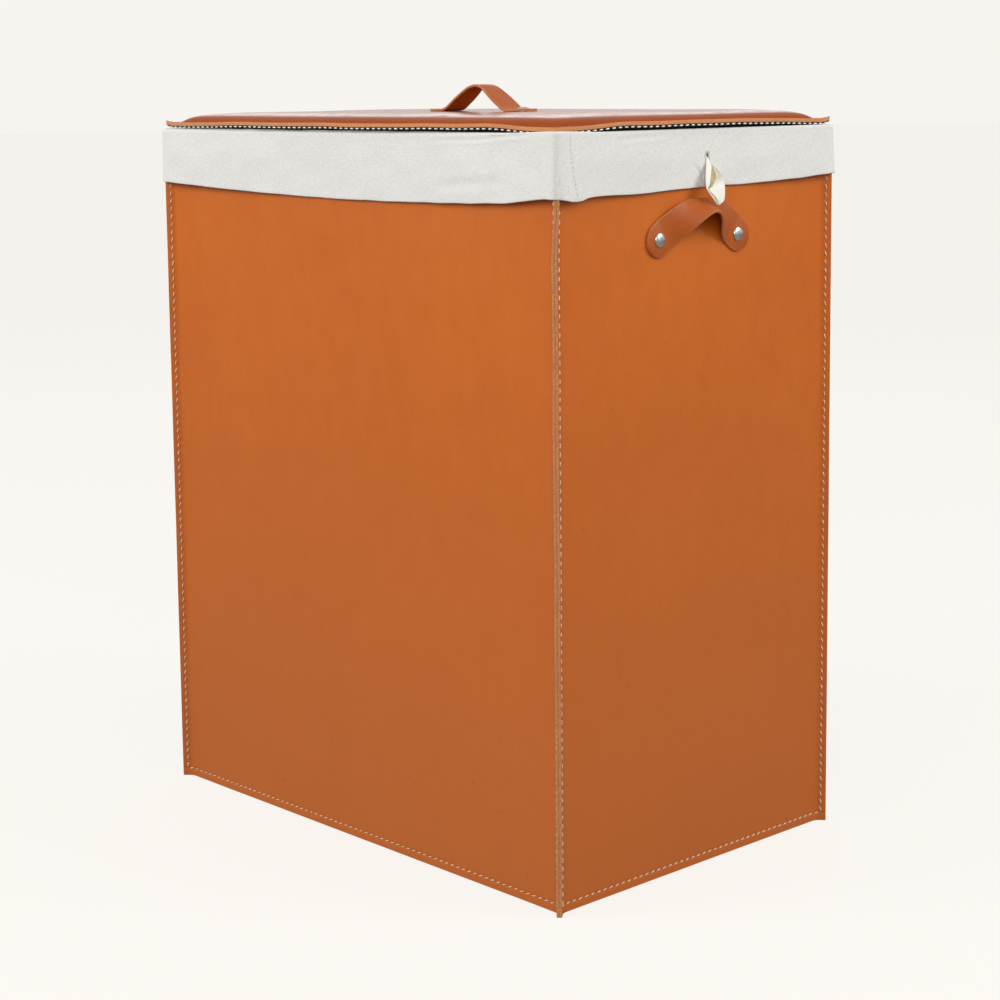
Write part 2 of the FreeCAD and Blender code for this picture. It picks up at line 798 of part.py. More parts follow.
def lid_leather(model):
    """The top leather: a flat stitched border round a low dome."""
    body = model.body("lid_leather_blank")
    border = lid_rectangle(model, body, "lid_border_plan", "0", "dims.lid_corner_radius",
                           LID_BOARD_BOTTOM)
    pad(body, border, "dims.lid_leather")
    loft(body, "AdditiveLoft", dome_sections(model, body, "0"))
    hollow = lid_rectangle(model, body, "lid_board_hollow", "(dims.lid_border + dims.lid_leather)",
                           "dims.dome_corner_radius - dims.lid_leather", LID_BOARD_BOTTOM)
    pocket(body, hollow, "dims.lid_leather")
    grip_rivet_holes(model, body)
    padding = model.body("lid_leather_hollow")
    loft(padding, "AdditiveLoft", dome_sections(model, padding, "dims.lid_leather"))
    shell = model.doc.addObject("Part::Cut", "lid_leather")
    shell.Base = body
    shell.Tool = padding
    return model.keep(shell)


def lid_handle(model):
    """A flat strap riveted at both ends and arched between them."""
    body = model.body("lid_handle")
    thick, slope, root = "dims.leather", "dims.grip_slope", "dims.grip_root_radius"
    rise = "(dims.grip_height - dims.leather)"
    span = "(dims.grip_length / 2 - dims.grip_tab)"
    fall = f"(1 - cos({slope}))"
    crown = f"(({span} * sin({slope}) - {rise} * cos({slope})) / {fall} - {root} - {thick})"
    under_root, over_crown = f"({root} + {thick})", f"({crown} + {thick})"
    right = [
        (f"{crown} * sin({slope})", f"{rise} - {crown} * {fall}"),
        (f"{span} - {under_root} * sin({slope})", f"{under_root} * {fall}"),
        (span, "0"),
        ("dims.grip_length / 2", "0"),
        ("dims.grip_length / 2", thick),
        (span, thick),
        (f"{span} - {root} * sin({slope})", f"{thick} + {root} * {fall}"),
        (f"{over_crown} * sin({slope})", f"{rise} + {thick} - {over_crown} * {fall}"),
    ]
    left = [(f"-({x})", z) for x, z in reversed(right)]
    corners = [(x, f"{CROWN_TOP} + {z}") for x, z in right + left]
    arcs = {1: (under_root, -1), 5: (root, 1), 7: (over_crown, -1),
            9: (root, 1), 13: (under_root, -1), 15: (crown, 1)}
    profile = outline(model, body, "lid_handle_profile", corners, "XZ_Plane", arcs=arcs)
    pad(body, profile, "dims.grip_width", middle=True)
    grip_rivet_holes(model, body)
    return model.keep(body)


def grip_places(model, level):
    across = model.size("grip_length") / 2 - model.size("grip_rivet_inset")
    return [Placement(Vector(x, 0, level), Rotation()) for x in (-across, across)]


def lid_handle_rivets(model):
    grip = f"({CROWN_TOP} - {LID_BOARD_BOTTOM} + dims.leather)"
    places = grip_places(model, model.value(f"{CROWN_TOP} + dims.leather"))
    return pair(model, "lid_handle_rivets", lambda name: rivet(model, name, grip), places)


def lid_handle_washers(model):
    places = grip_places(model, model.value(LID_BOARD_BOTTOM))
    return pair(model, "lid_handle_washers", lambda name: washer(model, name), places)


# ---- assembly ----------------------------------------------------------------------------

def build():
    model = Model()
    for side in SIDE_TURN:
        wall_leather(model, side)
        wall_board(model, side)
        wall_lining(model, side)
    base_leather(model)
    base_layer(model, "base_board", BOARD_FACE, FLOOR_TOP, "dims.board")
    base_layer(model, "base_lining", LINING_FACE, f"({FLOOR_TOP} + dims.board)", "dims.lining")
    for side in ("left", "right"):
        side_handle(model, side)
        handle_rivets(model, side)
        handle_washers(model, side)
    for side in SIDE_TURN:
        liner_panel(model, side)
        cuff(model, side)
    liner_base(model)
    channel_tape(model)
    buttonhole_stitching(model)
    tape_end(model)
    lid_lining(model)
    lid_board(model)
    lid_foam(model)
    lid_leather(model)
    lid_handle(model)
    lid_handle_rivets(model)
    lid_handle_washers(model)
    return model


def check(model):
    """Stops on any failed object or bad solid, before anything is written."""
    model.doc.recompute()
    for item in model.doc.Objects:
        if {"Invalid", "Error"} & set(item.State):
            raise RuntimeError(f"{item.Name} failed: {item.State}")
    for piece in model.nodes:
        if piece.Shape.isNull() or not piece.Shape.isValid() or not piece.Shape.Solids:
            raise RuntimeError(f"{piece.Label} has no valid solid")


def write(model):
    os.makedirs("parts", exist_ok=True)
    for piece in model.nodes:
        piece.Shape.exportStep(os.path.join("parts", f"{piece.Label}.step"))
        print(piece.Label, len(piece.Shape.Solids), "solid(s)", round(piece.Shape.Volume), "mm3")


hamper = build()
check(hamper)
write(hamper)
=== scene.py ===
"""Leather laundry hamper with a folded linen liner and a padded lid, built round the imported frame.

Metres, in the frame's own axes: +Z up, the front faces -Y and the right side +X.
"""
import math
import random

import bpy
import numpy as np
from mathutils import Matrix, Vector


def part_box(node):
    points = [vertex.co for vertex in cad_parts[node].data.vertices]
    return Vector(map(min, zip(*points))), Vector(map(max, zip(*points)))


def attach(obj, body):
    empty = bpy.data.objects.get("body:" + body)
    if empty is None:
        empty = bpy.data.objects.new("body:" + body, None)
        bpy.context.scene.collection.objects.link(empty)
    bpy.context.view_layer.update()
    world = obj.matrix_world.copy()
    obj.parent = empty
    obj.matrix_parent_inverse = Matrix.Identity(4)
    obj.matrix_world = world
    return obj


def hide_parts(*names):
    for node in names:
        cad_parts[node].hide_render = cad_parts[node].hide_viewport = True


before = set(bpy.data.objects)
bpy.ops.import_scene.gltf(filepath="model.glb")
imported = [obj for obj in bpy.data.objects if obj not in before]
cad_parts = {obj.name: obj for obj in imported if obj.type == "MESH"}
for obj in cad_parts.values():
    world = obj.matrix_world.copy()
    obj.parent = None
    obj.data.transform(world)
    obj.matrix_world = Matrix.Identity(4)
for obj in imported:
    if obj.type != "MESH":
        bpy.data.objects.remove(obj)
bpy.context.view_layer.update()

MM = 0.001
TURN = {"front": 0.0, "right": 90.0, "back": 180.0, "left": 270.0}

# ---- sizes read from the frame -----------------------------------------------------------

LEATHER = 2.2 * MM
HALF_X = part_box("base_leather")[1].x + LEATHER
HALF_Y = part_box("base_leather")[1].y + LEATHER
WALL_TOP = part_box("front_wall_leather")[1].z
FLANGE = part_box("front_wall_leather")[1].x - HALF_X
CUFF_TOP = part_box("cuff_front")[1].z
RIM_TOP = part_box("liner_front")[1].z
BAG_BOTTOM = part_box("liner_base")[0].z
BAG_FACE = HALF_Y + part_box("liner_front")[0].y
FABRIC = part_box("liner_base")[1].z - BAG_BOTTOM
TAPE_LOW, TAPE_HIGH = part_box("drawstring_tape")[0].z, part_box("drawstring_tape")[1].z
LID_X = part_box("lid_leather")[1].x
LID_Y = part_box("lid_leather")[1].y
LID_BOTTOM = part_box("lid_lining")[0].z
LID_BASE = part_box("lid_lining")[1].z
LID_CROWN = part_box("lid_leather")[1].z
HANDLE_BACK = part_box("right_handle_rivets")


def half_sizes(side):
    """Half the length of a side and the distance of its wall's face from the centre."""
    return (HALF_X, HALF_Y) if side in ("front", "back") else (HALF_Y, HALF_X)


# ---- mesh tools --------------------------------------------------------------------------

RIM_DRAW = 3.5 * MM


def drawn_in(points):
    """Every piece is drawn in towards the rim, where the sewn walls stand a little closer."""
    points = np.array(points, float).reshape(-1, 3)
    share = points[:, 2] / WALL_TOP
    points[:, 0] *= 1 - RIM_DRAW / HALF_X * share
    points[:, 1] *= 1 - RIM_DRAW / HALF_Y * share
    return points


def on_side(side, along, out, up):
    """Frame points of a side's own: along the side, out of its wall's face, and up."""
    angle = math.radians(TURN[side])
    depth = -(half_sizes(side)[1] + out)
    x = along * math.cos(angle) - depth * math.sin(angle)
    y = along * math.sin(angle) + depth * math.cos(angle)
    return xyz(x, y, up)


def xyz(*parts):
    """Points, or other rows of numbers, from arrays of their parts."""
    return np.stack(np.broadcast_arrays(*parts), axis=-1)


def unit(vectors):
    """The same directions, one long."""
    return vectors / np.linalg.norm(vectors, axis=-1)[..., None]


def smooth_step(low, high, value):
    """0 up to low and 1 from high on, with an easy way between."""
    share = np.clip((value - low) / (high - low), 0, 1)
    return share * share * (3 - 2 * share)


def bump(value, centre, width):
    """A smooth hump, 1 at its centre and gone about two widths away."""
    return np.exp(-((value - centre) / width) ** 2)


def ripple(across, up, length, seed, count=8):
    """Smooth random waves, mostly between -1 and 1, about one length from crest to crest."""
    draw = random.Random(seed)
    total = 0
    for _ in range(count):
        angle = draw.uniform(0, math.tau)
        pace = math.tau / (length * draw.uniform(0.7, 1.6))
        way = across * math.cos(angle) + up * math.sin(angle)
        total = total + np.sin(way * pace + draw.uniform(0, math.tau))
    return total / math.sqrt(2 * count)


def waves(across, up, *sizes):
    """Ripples added up: each size is a height and a length in millimetres and a seed."""
    return sum(height * MM * ripple(across, up, length * MM, seed) for height, length, seed in sizes)


def glide(values, slopes, index, t):
    """A smooth way from values[index] at t = 0 to the next value at t = 1."""
    start = values[index] * (1 + 2 * t) * (1 - t) ** 2 + slopes[0] * t * (1 - t) ** 2
    return start + values[index + 1] * t * t * (3 - 2 * t) - slopes[1] * t * t * (1 - t)


def through(keys, value):
    """A smooth curve through (place, height) keys."""
    places, heights = np.array(keys).T
    slopes = np.gradient(heights, places)
    index = np.clip(np.searchsorted(places, value) - 1, 0, len(places) - 2)
    gap = places[index + 1] - places[index]
    t = np.clip((value - places[index]) / gap, 0, 1)
    return glide(heights, (slopes[index] * gap, slopes[index + 1] * gap), index, t)


def refined(points, count):
    """A smooth curve of count points through the first axis of an array of points."""
    slopes = np.gradient(points, axis=0)
    places = np.linspace(0, len(points) - 1, count)
    index = np.clip(places.astype(int), 0, len(points) - 2)
    t = (places - index).reshape((-1,) + (1,) * (points.ndim - 1))
    return glide(points, (slopes[index], slopes[index + 1]), index, t)


def round_corners(corners, radii, steps=4, closed=True):
    """An outline whose corners are replaced by arcs of the given radii; an open one keeps its ends."""
    points = []
    for number, (corner, radius) in enumerate(zip(corners, radii)):
        corner = np.array(corner, float)
        if not closed and number in (0, len(corners) - 1):
            points.append(corner)
            continue
        before = np.array(corners[number - 1], float) - corner
        after = np.array(corners[(number + 1) % len(corners)], float) - corner
        before, after = unit(before), unit(after)
        half = math.acos(np.clip(before @ after, -1, 1)) / 2
        run = radius / math.tan(half)
        centre = corner + (before + after) / np.linalg.norm(before + after) * radius / math.sin(half)
        start = corner + before * run - centre
        end = corner + after * run - centre
        sweep = math.pi - 2 * half
        for step in range(steps + 1):
            share = step / steps
            mix = start * math.sin((1 - share) * sweep) + end * math.sin(share * sweep)
            points.append(centre + mix / math.sin(sweep))
    return points


def divide(points, longest):
    """The closed outline with its sides cut into pieces; longest gives their length for a side's."""
    divided = []
    for number, start in enumerate(points):
        end = points[(number + 1) % len(points)]
        gap = np.linalg.norm(end - start)
        pieces = max(1, math.ceil(gap / longest(gap)))
        divided += [start + (end - start) * piece / pieces for piece in range(pieces)]
    return np.array(divided)


def strip_faces(rows, columns, wrap=True, first=0):
    """Quads between rows of points; wrap joins each row's end to its start."""
    faces = []
    for row in range(rows - 1):
        for column in range(columns if wrap else columns - 1):
            here, beside = first + row * columns, (column + 1) % columns
            faces.append((here + column, here + beside,
                          here + columns + beside, here + columns + column))
    return faces


def ring_faces(rows, columns):
    """Quads of a tube of cloth whose last row meets its first."""
    count = rows * columns
    return [tuple(corner % count for corner in face) for face in strip_faces(rows + 1, columns)]


def piece(name, points, faces, materials, body, slot, kinds=None, uv=None, around=0.0):
    """A mesh piece that rides on a body. kinds gives each face's material, uv each point's place.

    around is how far uv runs round a closed ring of quads, back to its start.
    """
    mesh = bpy.data.meshes.new(name)
    mesh.from_pydata(drawn_in(points).tolist(), [], faces)
    for material in materials:
        mesh.materials.append(material)
    if kinds is not None:
        mesh.polygons.foreach_set("material_index", kinds)
    if uv is not None:
        layer = mesh.uv_layers.new(name="cloth")
        corners = np.zeros(len(mesh.loops), np.int32)
        mesh.loops.foreach_get("vertex_index", corners)
        uv = np.asarray(uv, np.float32).reshape(-1, 2)[corners]
        if around:
            quads = uv.reshape(-1, 4, 2)
            last = np.ptp(quads[..., 0], axis=1) > around / 2
            quads[last, :, 0] += around * (quads[last, :, 0] < around / 2)
        layer.data.foreach_set("uv", uv.ravel())
    mesh.polygons.foreach_set("use_smooth", [True] * len(mesh.polygons))
    mesh.set_sharp_from_angle(angle=math.radians(48))
    mesh.update()
    thing = bpy.data.objects.new(name, mesh)
    bpy.context.scene.collection.objects.link(thing)
    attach(thing, body)
    return thing


def rounded_grid(half_x, half_y, columns, rows, radius):
    """A grid over a rectangle with round corners; columns and rows run from -1 to 1."""
    x, y = np.meshgrid(columns * half_x, rows * half_y, indexing="ij")
    over_x = np.clip((np.abs(x) - half_x + radius) / radius, 0, 1)
    over_y = np.clip((np.abs(y) - half_y + radius) / radius, 0, 1)
    pull_x = over_x * np.sqrt(1 - over_y ** 2 / 2)
    pull_y = over_y * np.sqrt(1 - over_x ** 2 / 2)
    x = np.sign(x) * np.where(over_x > 0, half_x - radius + pull_x * radius, np.abs(x))
    y = np.sign(y) * np.where(over_y > 0, half_y - radius + pull_y * radius, np.abs(y))
    return x, y


def inset_of(x, y, half_x, half_y, radius):
    """How far inside a round-cornered rectangle each point lies; negative outside it."""
    over_x, over_y = np.abs(x) - half_x + radius, np.abs(y) - half_y + radius
    outside = np.hypot(np.maximum(over_x, 0), np.maximum(over_y, 0))
    return radius - outside - np.minimum(np.maximum(over_x, over_y), 0)


def border_of(columns, rows):
    """Indices of a grid's outer points, counter-clockwise from above."""
    index = np.arange(columns * rows).reshape(columns, rows)
    return np.concatenate([index[:-1, 0], index[-1, :-1], index[:0:-1, -1], index[0, :0:-1]])


def slab_faces(columns, rows):
    """Faces of a closed slab: a top grid, then a bottom grid, then the side between them."""
    count = columns * rows
    top = [tuple(reversed(face)) for face in strip_faces(columns, rows, wrap=False)]
    bottom = strip_faces(columns, rows, wrap=False, first=count)
    border = border_of(columns, rows).tolist()
    side = [(count + a, count + b, b, a) for a, b in zip(border, border[1:] + border[:1])]
    return top + bottom + side


# ---- materials ---------------------------------------------------------------------------

class Look:
    """Builds one node material around a Principled shader."""

    def __init__(self, name, **uniform):
        self.material = bpy.data.materials.new(name)
        self.material.use_nodes = True
        self.tree = self.material.node_tree
        self.shader = self.tree.nodes["Principled BSDF"]
        for socket, value in uniform.items():
            self.shader.inputs[socket.replace("_", " ")].default_value = value
        self.places = self.tree.nodes.new("ShaderNodeTexCoord").outputs["Object"]

    def node(self, kind, links=None, **settings):
        """A new node; links feeds its inputs, by name or number, from sockets or with values."""
        made = self.tree.nodes.new("ShaderNode" + kind)
        for setting, value in settings.items():
            setattr(made, setting, value)
        for socket, value in (links or {}).items():
            if isinstance(value, bpy.types.NodeSocket):
                self.tree.links.new(value, made.inputs[socket])
            else:
                made.inputs[socket].default_value = value
        return made

    def scaled(self, x, y, z, turn=0.0):
        """The surface's place, stretched so that a pattern repeats x, y and z times a metre."""
        links = {"Vector": self.places, "Scale": (x, y, z), "Rotation": (0, 0, turn)}
        return self.node("Mapping", links).outputs["Vector"]

    def noise(self, where, scale=1.0, detail=3.0, rough=0.5, twist=0.0):
        links = {"Vector": where, "Scale": scale, "Detail": detail, "Roughness": rough,
                 "Distortion": twist}
        return self.node("TexNoise", links).outputs["Fac"]

    def between(self, value, low, high, start=0.0, end=1.0):
        """Maps a pattern's value between low and high to start and end."""
        links = {"Value": value, "From Min": low, "From Max": high, "To Min": start, "To Max": end}
        return self.node("MapRange", links).outputs["Result"]

    def maths(self, kind, first, second=0.0, third=0.0):
        return self.node("Math", {0: first, 1: second, 2: third}, operation=kind).outputs[0]

    def blend(self, share, first, second, kind="MIX"):
        """Mixes two colours, each a socket or an RGB triple."""
        def full(colour):
            return colour if isinstance(colour, bpy.types.NodeSocket) else (*colour, 1.0)
        links = {"Factor": share, 6: full(first), 7: full(second)}
        return self.node("Mix", links, data_type="RGBA", blend_type=kind).outputs[2]

    def tinted(self, value, low, high, dark, light):
        """The dark colour where a pattern is low, and the light one where it is high."""
        return self.blend(self.between(value, low, high), dark, light)

    def grains(self, x, y, z, detail=3.0, rough=0.5):
        """Noise stretched so that it has x, y and z grains to a metre."""
        return self.noise(self.scaled(x, y, z), 1.0, detail, rough)

    def relief(self, height, depth, before=None):
        """A bump of the given depth in metres, on top of one before it."""
        links = {"Height": height, "Distance": depth}
        if before is not None:
            links["Normal"] = before
        return self.node("Bump", links).outputs["Normal"]

    def wear(self, colour=None, roughness=None, normal=None):
        for socket, source in (("Base Color", colour), ("Roughness", roughness), ("Normal", normal)):
            if source is not None:
                self.tree.links.new(source, self.shader.inputs[socket])
        return self.material


def leather_look(name, light, dark, rough, gloss, grain=1.0, foot=None):
    """Smooth bonded leather: cloudy dye, fine pebbled grain, faint scuffs and specks; a foot colour,
    when given, paints shade and reflection haze low down.
    """
    look = Look(name, Specular_IOR_Level=gloss)
    where = look.scaled(1, 1, 1)
    clouds = look.noise(where, 5.0, 3.0, 0.5, 0.3)
    blotches = look.grains(60, 60, 30, 4.0, 0.6)
    tone = look.maths("MULTIPLY_ADD", blotches, 0.45, look.maths("MULTIPLY", clouds, 0.55))
    colour = look.tinted(tone, 0.30, 0.70, dark, light)
    # Painted shade and reflection haze: the colour blends to the foot colour towards the bottom.
    if foot is not None:
        height = look.node("SeparateXYZ", {0: look.places}).outputs[2]
        colour = look.blend(look.between(height, 0.50, 0.08, 0.0, 0.8), colour, foot)
    fine = look.noise(where, 900.0, 2.0)
    colour = look.blend(look.between(fine, 0.3, 0.7, 0.0, 0.10), colour, dark)
    specks = look.between(look.noise(where, 260.0, 1.0), 0.74, 0.80)
    colour = look.blend(look.maths("MULTIPLY", specks, 0.35), colour, (0.24, 0.075, 0.018))
    scuffs = look.between(look.noise(look.scaled(26, 26, 420, 0.3), 1.0, 3.0, 0.6), 0.63, 0.75)
    roughness = look.between(look.noise(where, 60.0, 3.0), 0.3, 0.7, rough - 0.05, rough + 0.06)
    roughness = look.maths("MULTIPLY_ADD", scuffs, 0.08, roughness)
    cells = look.node("TexVoronoi", {"Vector": where, "Scale": 820.0}, feature="SMOOTH_F1")
    normal = look.relief(cells.outputs["Distance"], 0.05 * MM * grain)
    normal = look.relief(look.noise(where, 150.0, 3.0), 0.10 * MM * grain, normal)
    return look.wear(colour, roughness, normal)


def cut_edge_look(name, light, dark):
    """The pale fibrous cut edge of leather."""
    look = Look(name, Specular_IOR_Level=0.3)
    fibres = look.grains(500, 500, 900, 4.0, 0.65)
    patches = look.grains(60, 60, 60, 2.0)
    colour = look.tinted(fibres, 0.35, 0.65, dark, light)
    colour = look.blend(look.between(patches, 0.35, 0.7, 0.0, 0.45), colour, dark)
    roughness = look.between(fibres, 0.3, 0.7, 0.6, 0.85)
    return look.wear(colour, roughness, look.relief(fibres, 0.15 * MM))


def cloth_look(name, light, dark, fleck, pitch, roughness, slub=1.0):
    """A plain weave that follows the cloth: slubby threads both ways and small seed flecks."""
    look = Look(name, Specular_IOR_Level=0.15, Sheen_Weight=0.12, Sheen_Roughness=0.5)
    where = look.node("UVMap", uv_map="cloth").outputs["UV"]

    def stretched(x, y, detail, scale=1.0):
        spread = look.node("Mapping", {"Vector": where, "Scale": (x, y, 1)}).outputs["Vector"]
        return look.noise(spread, scale, detail, 0.6)

    across, down = stretched(420, 1500, 3.0), stretched(1500, 420, 3.0)
    slubs = look.maths("ADD", stretched(260, 900, 2.0), stretched(900, 260, 2.0))
    threads = look.maths("MAXIMUM", across, down)
    tone = look.maths("MULTIPLY_ADD", slubs, 0.35 * slub, look.maths("MULTIPLY", threads, 0.6))
    colour = look.tinted(tone, 0.50, 0.86, dark, light)
    seeds = look.between(stretched(620, 480, 2.0), 0.64, 0.72)
    colour = look.blend(look.maths("MULTIPLY", seeds, 0.42), colour, fleck)
    stains = stretched(14, 14, 3.0)
    colour = look.blend(look.between(stains, 0.35, 0.7, 0.0, 0.22), colour, dark)
    weave = []
    for bands in ("Y", "X"):
        wave = look.node("TexWave", {"Vector": where, "Scale": 1 / pitch / 6.3, "Distortion": 1.2,
                                     "Detail Scale": 2.0}, bands_direction=bands)
        weave.append(wave.outputs["Fac"])
    height = look.maths("MULTIPLY", look.maths("ADD", *weave), 0.20)
    height = look.maths("ADD", height, look.maths("MULTIPLY", slubs, 0.6))
    rough = look.between(threads, 0.4, 0.7, roughness, roughness - 0.1)
    return look.wear(colour, rough, look.relief(height, 0.20 * MM))


def thread_look(name, light, dark):
    """Waxed sewing thread, lighter on the crown of each ply."""
    look = Look(name, Specular_IOR_Level=0.4, Roughness=0.55)
    plies = look.grains(700, 700, 700)
    colour = look.tinted(plies, 0.35, 0.65, dark, light)
    return look.wear(colour, None, look.relief(plies, 0.08 * MM))


def metal_look(name):
    """Nickel-plated steel, softly polished."""
    look = Look(name, Metallic=1.0)
    where = look.scaled(1, 1, 1)
    film = look.noise(where, 300.0, 3.0)
    colour = look.tinted(film, 0.35, 0.65, (0.62, 0.62, 0.60), (0.78, 0.78, 0.76))
    roughness = look.between(look.noise(where, 900.0, 3.0), 0.3, 0.7, 0.20, 0.34)
    return look.wear(colour, roughness, look.relief(film, 0.02 * MM))


def board_look(name):
    """Pressed fibre board with short grey and brown fibres."""
    look = Look(name, Specular_IOR_Level=0.2)
    fibres = look.grains(240, 240, 700, 4.0, 0.7)
    colour = look.tinted(fibres, 0.3, 0.7, (0.20, 0.15, 0.10), (0.36, 0.29, 0.21))
    roughness = look.between(fibres, 0.3, 0.7, 0.8, 0.95)
    return look.wear(colour, roughness, look.relief(fibres, 0.2 * MM))


def lining_look(name):
    """Black woven lining with a slight shine on its ribs."""
    look = Look(name, Specular_IOR_Level=0.12)
    ribs = look.grains(700, 700, 120, 2.0)
    cross = look.grains(120, 120, 900, 2.0)
    weave = look.maths("MAXIMUM", ribs, cross)
    colour = look.tinted(weave, 0.4, 0.7, (0.003, 0.003, 0.004), (0.013, 0.012, 0.015))
    roughness = look.between(weave, 0.4, 0.7, 0.75, 0.55)
    return look.wear(colour, roughness, look.relief(weave, 0.15 * MM))


def tape_look(name, light, dark):
    """Flat cotton tape with a fine twill rib along it."""
    look = Look(name, Specular_IOR_Level=0.25, Sheen_Weight=0.2, Sheen_Roughness=0.5)
    where = look.node("UVMap", uv_map="cloth").outputs["UV"]
    turned = look.node("Mapping", {"Vector": where, "Rotation": (0, 0, 0.7)}).outputs["Vector"]
    twill = look.node("TexWave", {"Vector": turned, "Scale": 430.0, "Distortion": 1.0})
    worn = look.noise(look.node("Mapping", {"Vector": where, "Scale": (900, 160, 1)}).outputs[0])
    tone = look.maths("MULTIPLY_ADD", twill.outputs["Fac"], 0.4, look.maths("MULTIPLY", worn, 0.6))
    colour = look.tinted(tone, 0.2, 0.8, dark, light)
    roughness = look.between(worn, 0.3, 0.7, 0.72, 0.86)
    return look.wear(colour, roughness, look.relief(tone, 0.12 * MM))


# The wall's foot colour is painted shade and reflection haze, duller and hazier low on the walls.
WALL_HIDE = leather_look("wall_hide", (0.61, 0.142, 0.010), (0.53, 0.116, 0.008), 0.44, 0.30,
                         foot=(0.50, 0.132, 0.030))
STRAP_HIDE = leather_look("strap_hide", (0.46, 0.100, 0.010), (0.38, 0.076, 0.008), 0.38, 0.40)
LID_HIDE = leather_look("lid_hide", (0.34, 0.064, 0.006), (0.28, 0.050, 0.004), 0.17, 0.10, 0.02)
RAW_EDGE = cut_edge_look("raw_edge", (0.66, 0.29, 0.10), (0.47, 0.17, 0.075))
STRAP_EDGE = cut_edge_look("strap_edge", (0.56, 0.23, 0.10), (0.38, 0.115, 0.04))
LINEN = cloth_look("linen", (0.86, 0.85, 0.83), (0.66, 0.65, 0.62), (0.40, 0.31, 0.21),
                   0.7 * MM, 0.92)
# Near-black cloth for the buttonhole's recess: painted shade inside the hole.
SLOT_SHADE = cloth_look("slot_painted_shade", (0.09, 0.085, 0.07), (0.05, 0.045, 0.04),
                        (0.03, 0.025, 0.02), 0.9 * MM, 0.95)
TAPE = tape_look("cotton_tape", (0.90, 0.88, 0.80), (0.82, 0.79, 0.69))
# Darker, yellower tape for the inside of the fold: painted shade between the tape's layers.
TAPE_INSIDE_SHADE = tape_look("tape_inside_painted_shade", (0.62, 0.55, 0.33), (0.45, 0.38, 0.20))
THREAD = thread_look("pale_thread", (0.80, 0.72, 0.56), (0.55, 0.44, 0.30))
LID_THREAD = thread_look("white_thread", (0.90, 0.88, 0.80), (0.70, 0.66, 0.56))
LINEN_THREAD = thread_look("linen_thread", (0.72, 0.70, 0.62), (0.50, 0.46, 0.38))
# Dark brown for the cuff's seam stitches: painted shade of the seam's groove and holes, on real
# stitches.
SEAM_SHADOW = thread_look("seam_shade_thread", (0.34, 0.27, 0.19), (0.20, 0.15, 0.10))
STEEL = metal_look("nickel")
BOARD = board_look("fibre_board")
LINING = lining_look("black_lining")


# ---- stitching ---------------------------------------------------------------------------

STITCH_PITCH = 7.0 * MM
STITCH_SIZE = (4.4 * MM, 0.48 * MM)
STITCH_RINGS = 7
STITCH_SIDES = 8


def spaced(path, pitch, closed=False):
    """Evenly spaced centres and directions of stitches along a path of points."""
    path = np.array(path, float)
    if closed:
        path = np.vstack([path, path[:1]])
    gaps = np.linalg.norm(np.diff(path, axis=0), axis=1)
    reach = np.concatenate([[0], np.cumsum(gaps)])
    count = max(1, round(reach[-1] / pitch))
    wanted = (np.arange(count) + 0.5) * reach[-1] / count
    centres = np.stack([np.interp(wanted, reach, path[:, axis]) for axis in range(3)], axis=1)
    index = np.clip(np.searchsorted(reach, wanted) - 1, 0, len(gaps) - 1)
    return centres, np.diff(path, axis=0)[index] / gaps[index, None]


def stitches(name, rows, material, body, slot, length=STITCH_SIZE[0], radius=STITCH_SIZE[1]):
    """One joined mesh of separate stitches. Each row is centres, directions, normals, slant."""
    ring = np.linspace(-1, 1, STITCH_RINGS)[:, None]
    angles = np.arange(STITCH_SIDES) * math.tau / STITCH_SIDES
    swell = np.sqrt(1 - 0.9 * ring ** 4) * (1 + 0.10 * np.cos(2 * angles - 5 * ring))
    along = ring * length / 2 + 0 * angles
    across = radius * swell * np.cos(angles)
    rise = radius * (swell * np.sin(angles) + 1.1 * (1 - ring ** 2) - 0.75)
    shape = xyz(along, across, rise).reshape(-1, 3)
    links = strip_faces(STITCH_RINGS, STITCH_SIDES)
    links += [tuple(range(STITCH_SIDES)),
              tuple(range(len(shape) - 1, len(shape) - STITCH_SIDES - 1, -1))]
    draw = random.Random(name)
    points, faces = [], []
    for centres, directions, normals, slant in rows:
        for centre, ahead, normal in zip(centres, directions, np.broadcast_to(normals, centres.shape)):
            angle = math.radians(slant + draw.uniform(-3, 3))
            beside = np.cross(normal, ahead)
            turned = ahead * math.cos(angle) + beside * math.sin(angle)
            axes = np.array([turned, np.cross(normal, turned), normal])
            size = np.array([draw.uniform(0.92, 1.06), draw.uniform(0.9, 1.1), 1.0])
            faces += [tuple(len(points) * len(shape) + corner for corner in face) for face in links]
            points.append(centre + (shape * size) @ axes)
    return piece(name, points, faces, [material], body, slot)


# ---- leather walls -----------------------------------------------------------------------

BEND = 8.0 * MM
EDGE_ROUND = 0.5 * MM
STITCH_INSET = 4.7 * MM
BASE_ROW = 7.0 * MM
GROOVE = 0.30 * MM
# The near corner's flange leans to the left, by this much at its foot and at its rim.
NEAR_LEAN = (-0.4 * MM, -2.0 * MM)
# A flange stands straight from here up, where the cuff holds it.
CUFF_REACH = CUFF_TOP - 58 * MM
STITCH_SLANT = 16
DIAGONAL = math.sqrt(0.5)
OUTER_TIP = np.array([FLANGE - LEATHER * DIAGONAL, FLANGE + LEATHER * DIAGONAL])


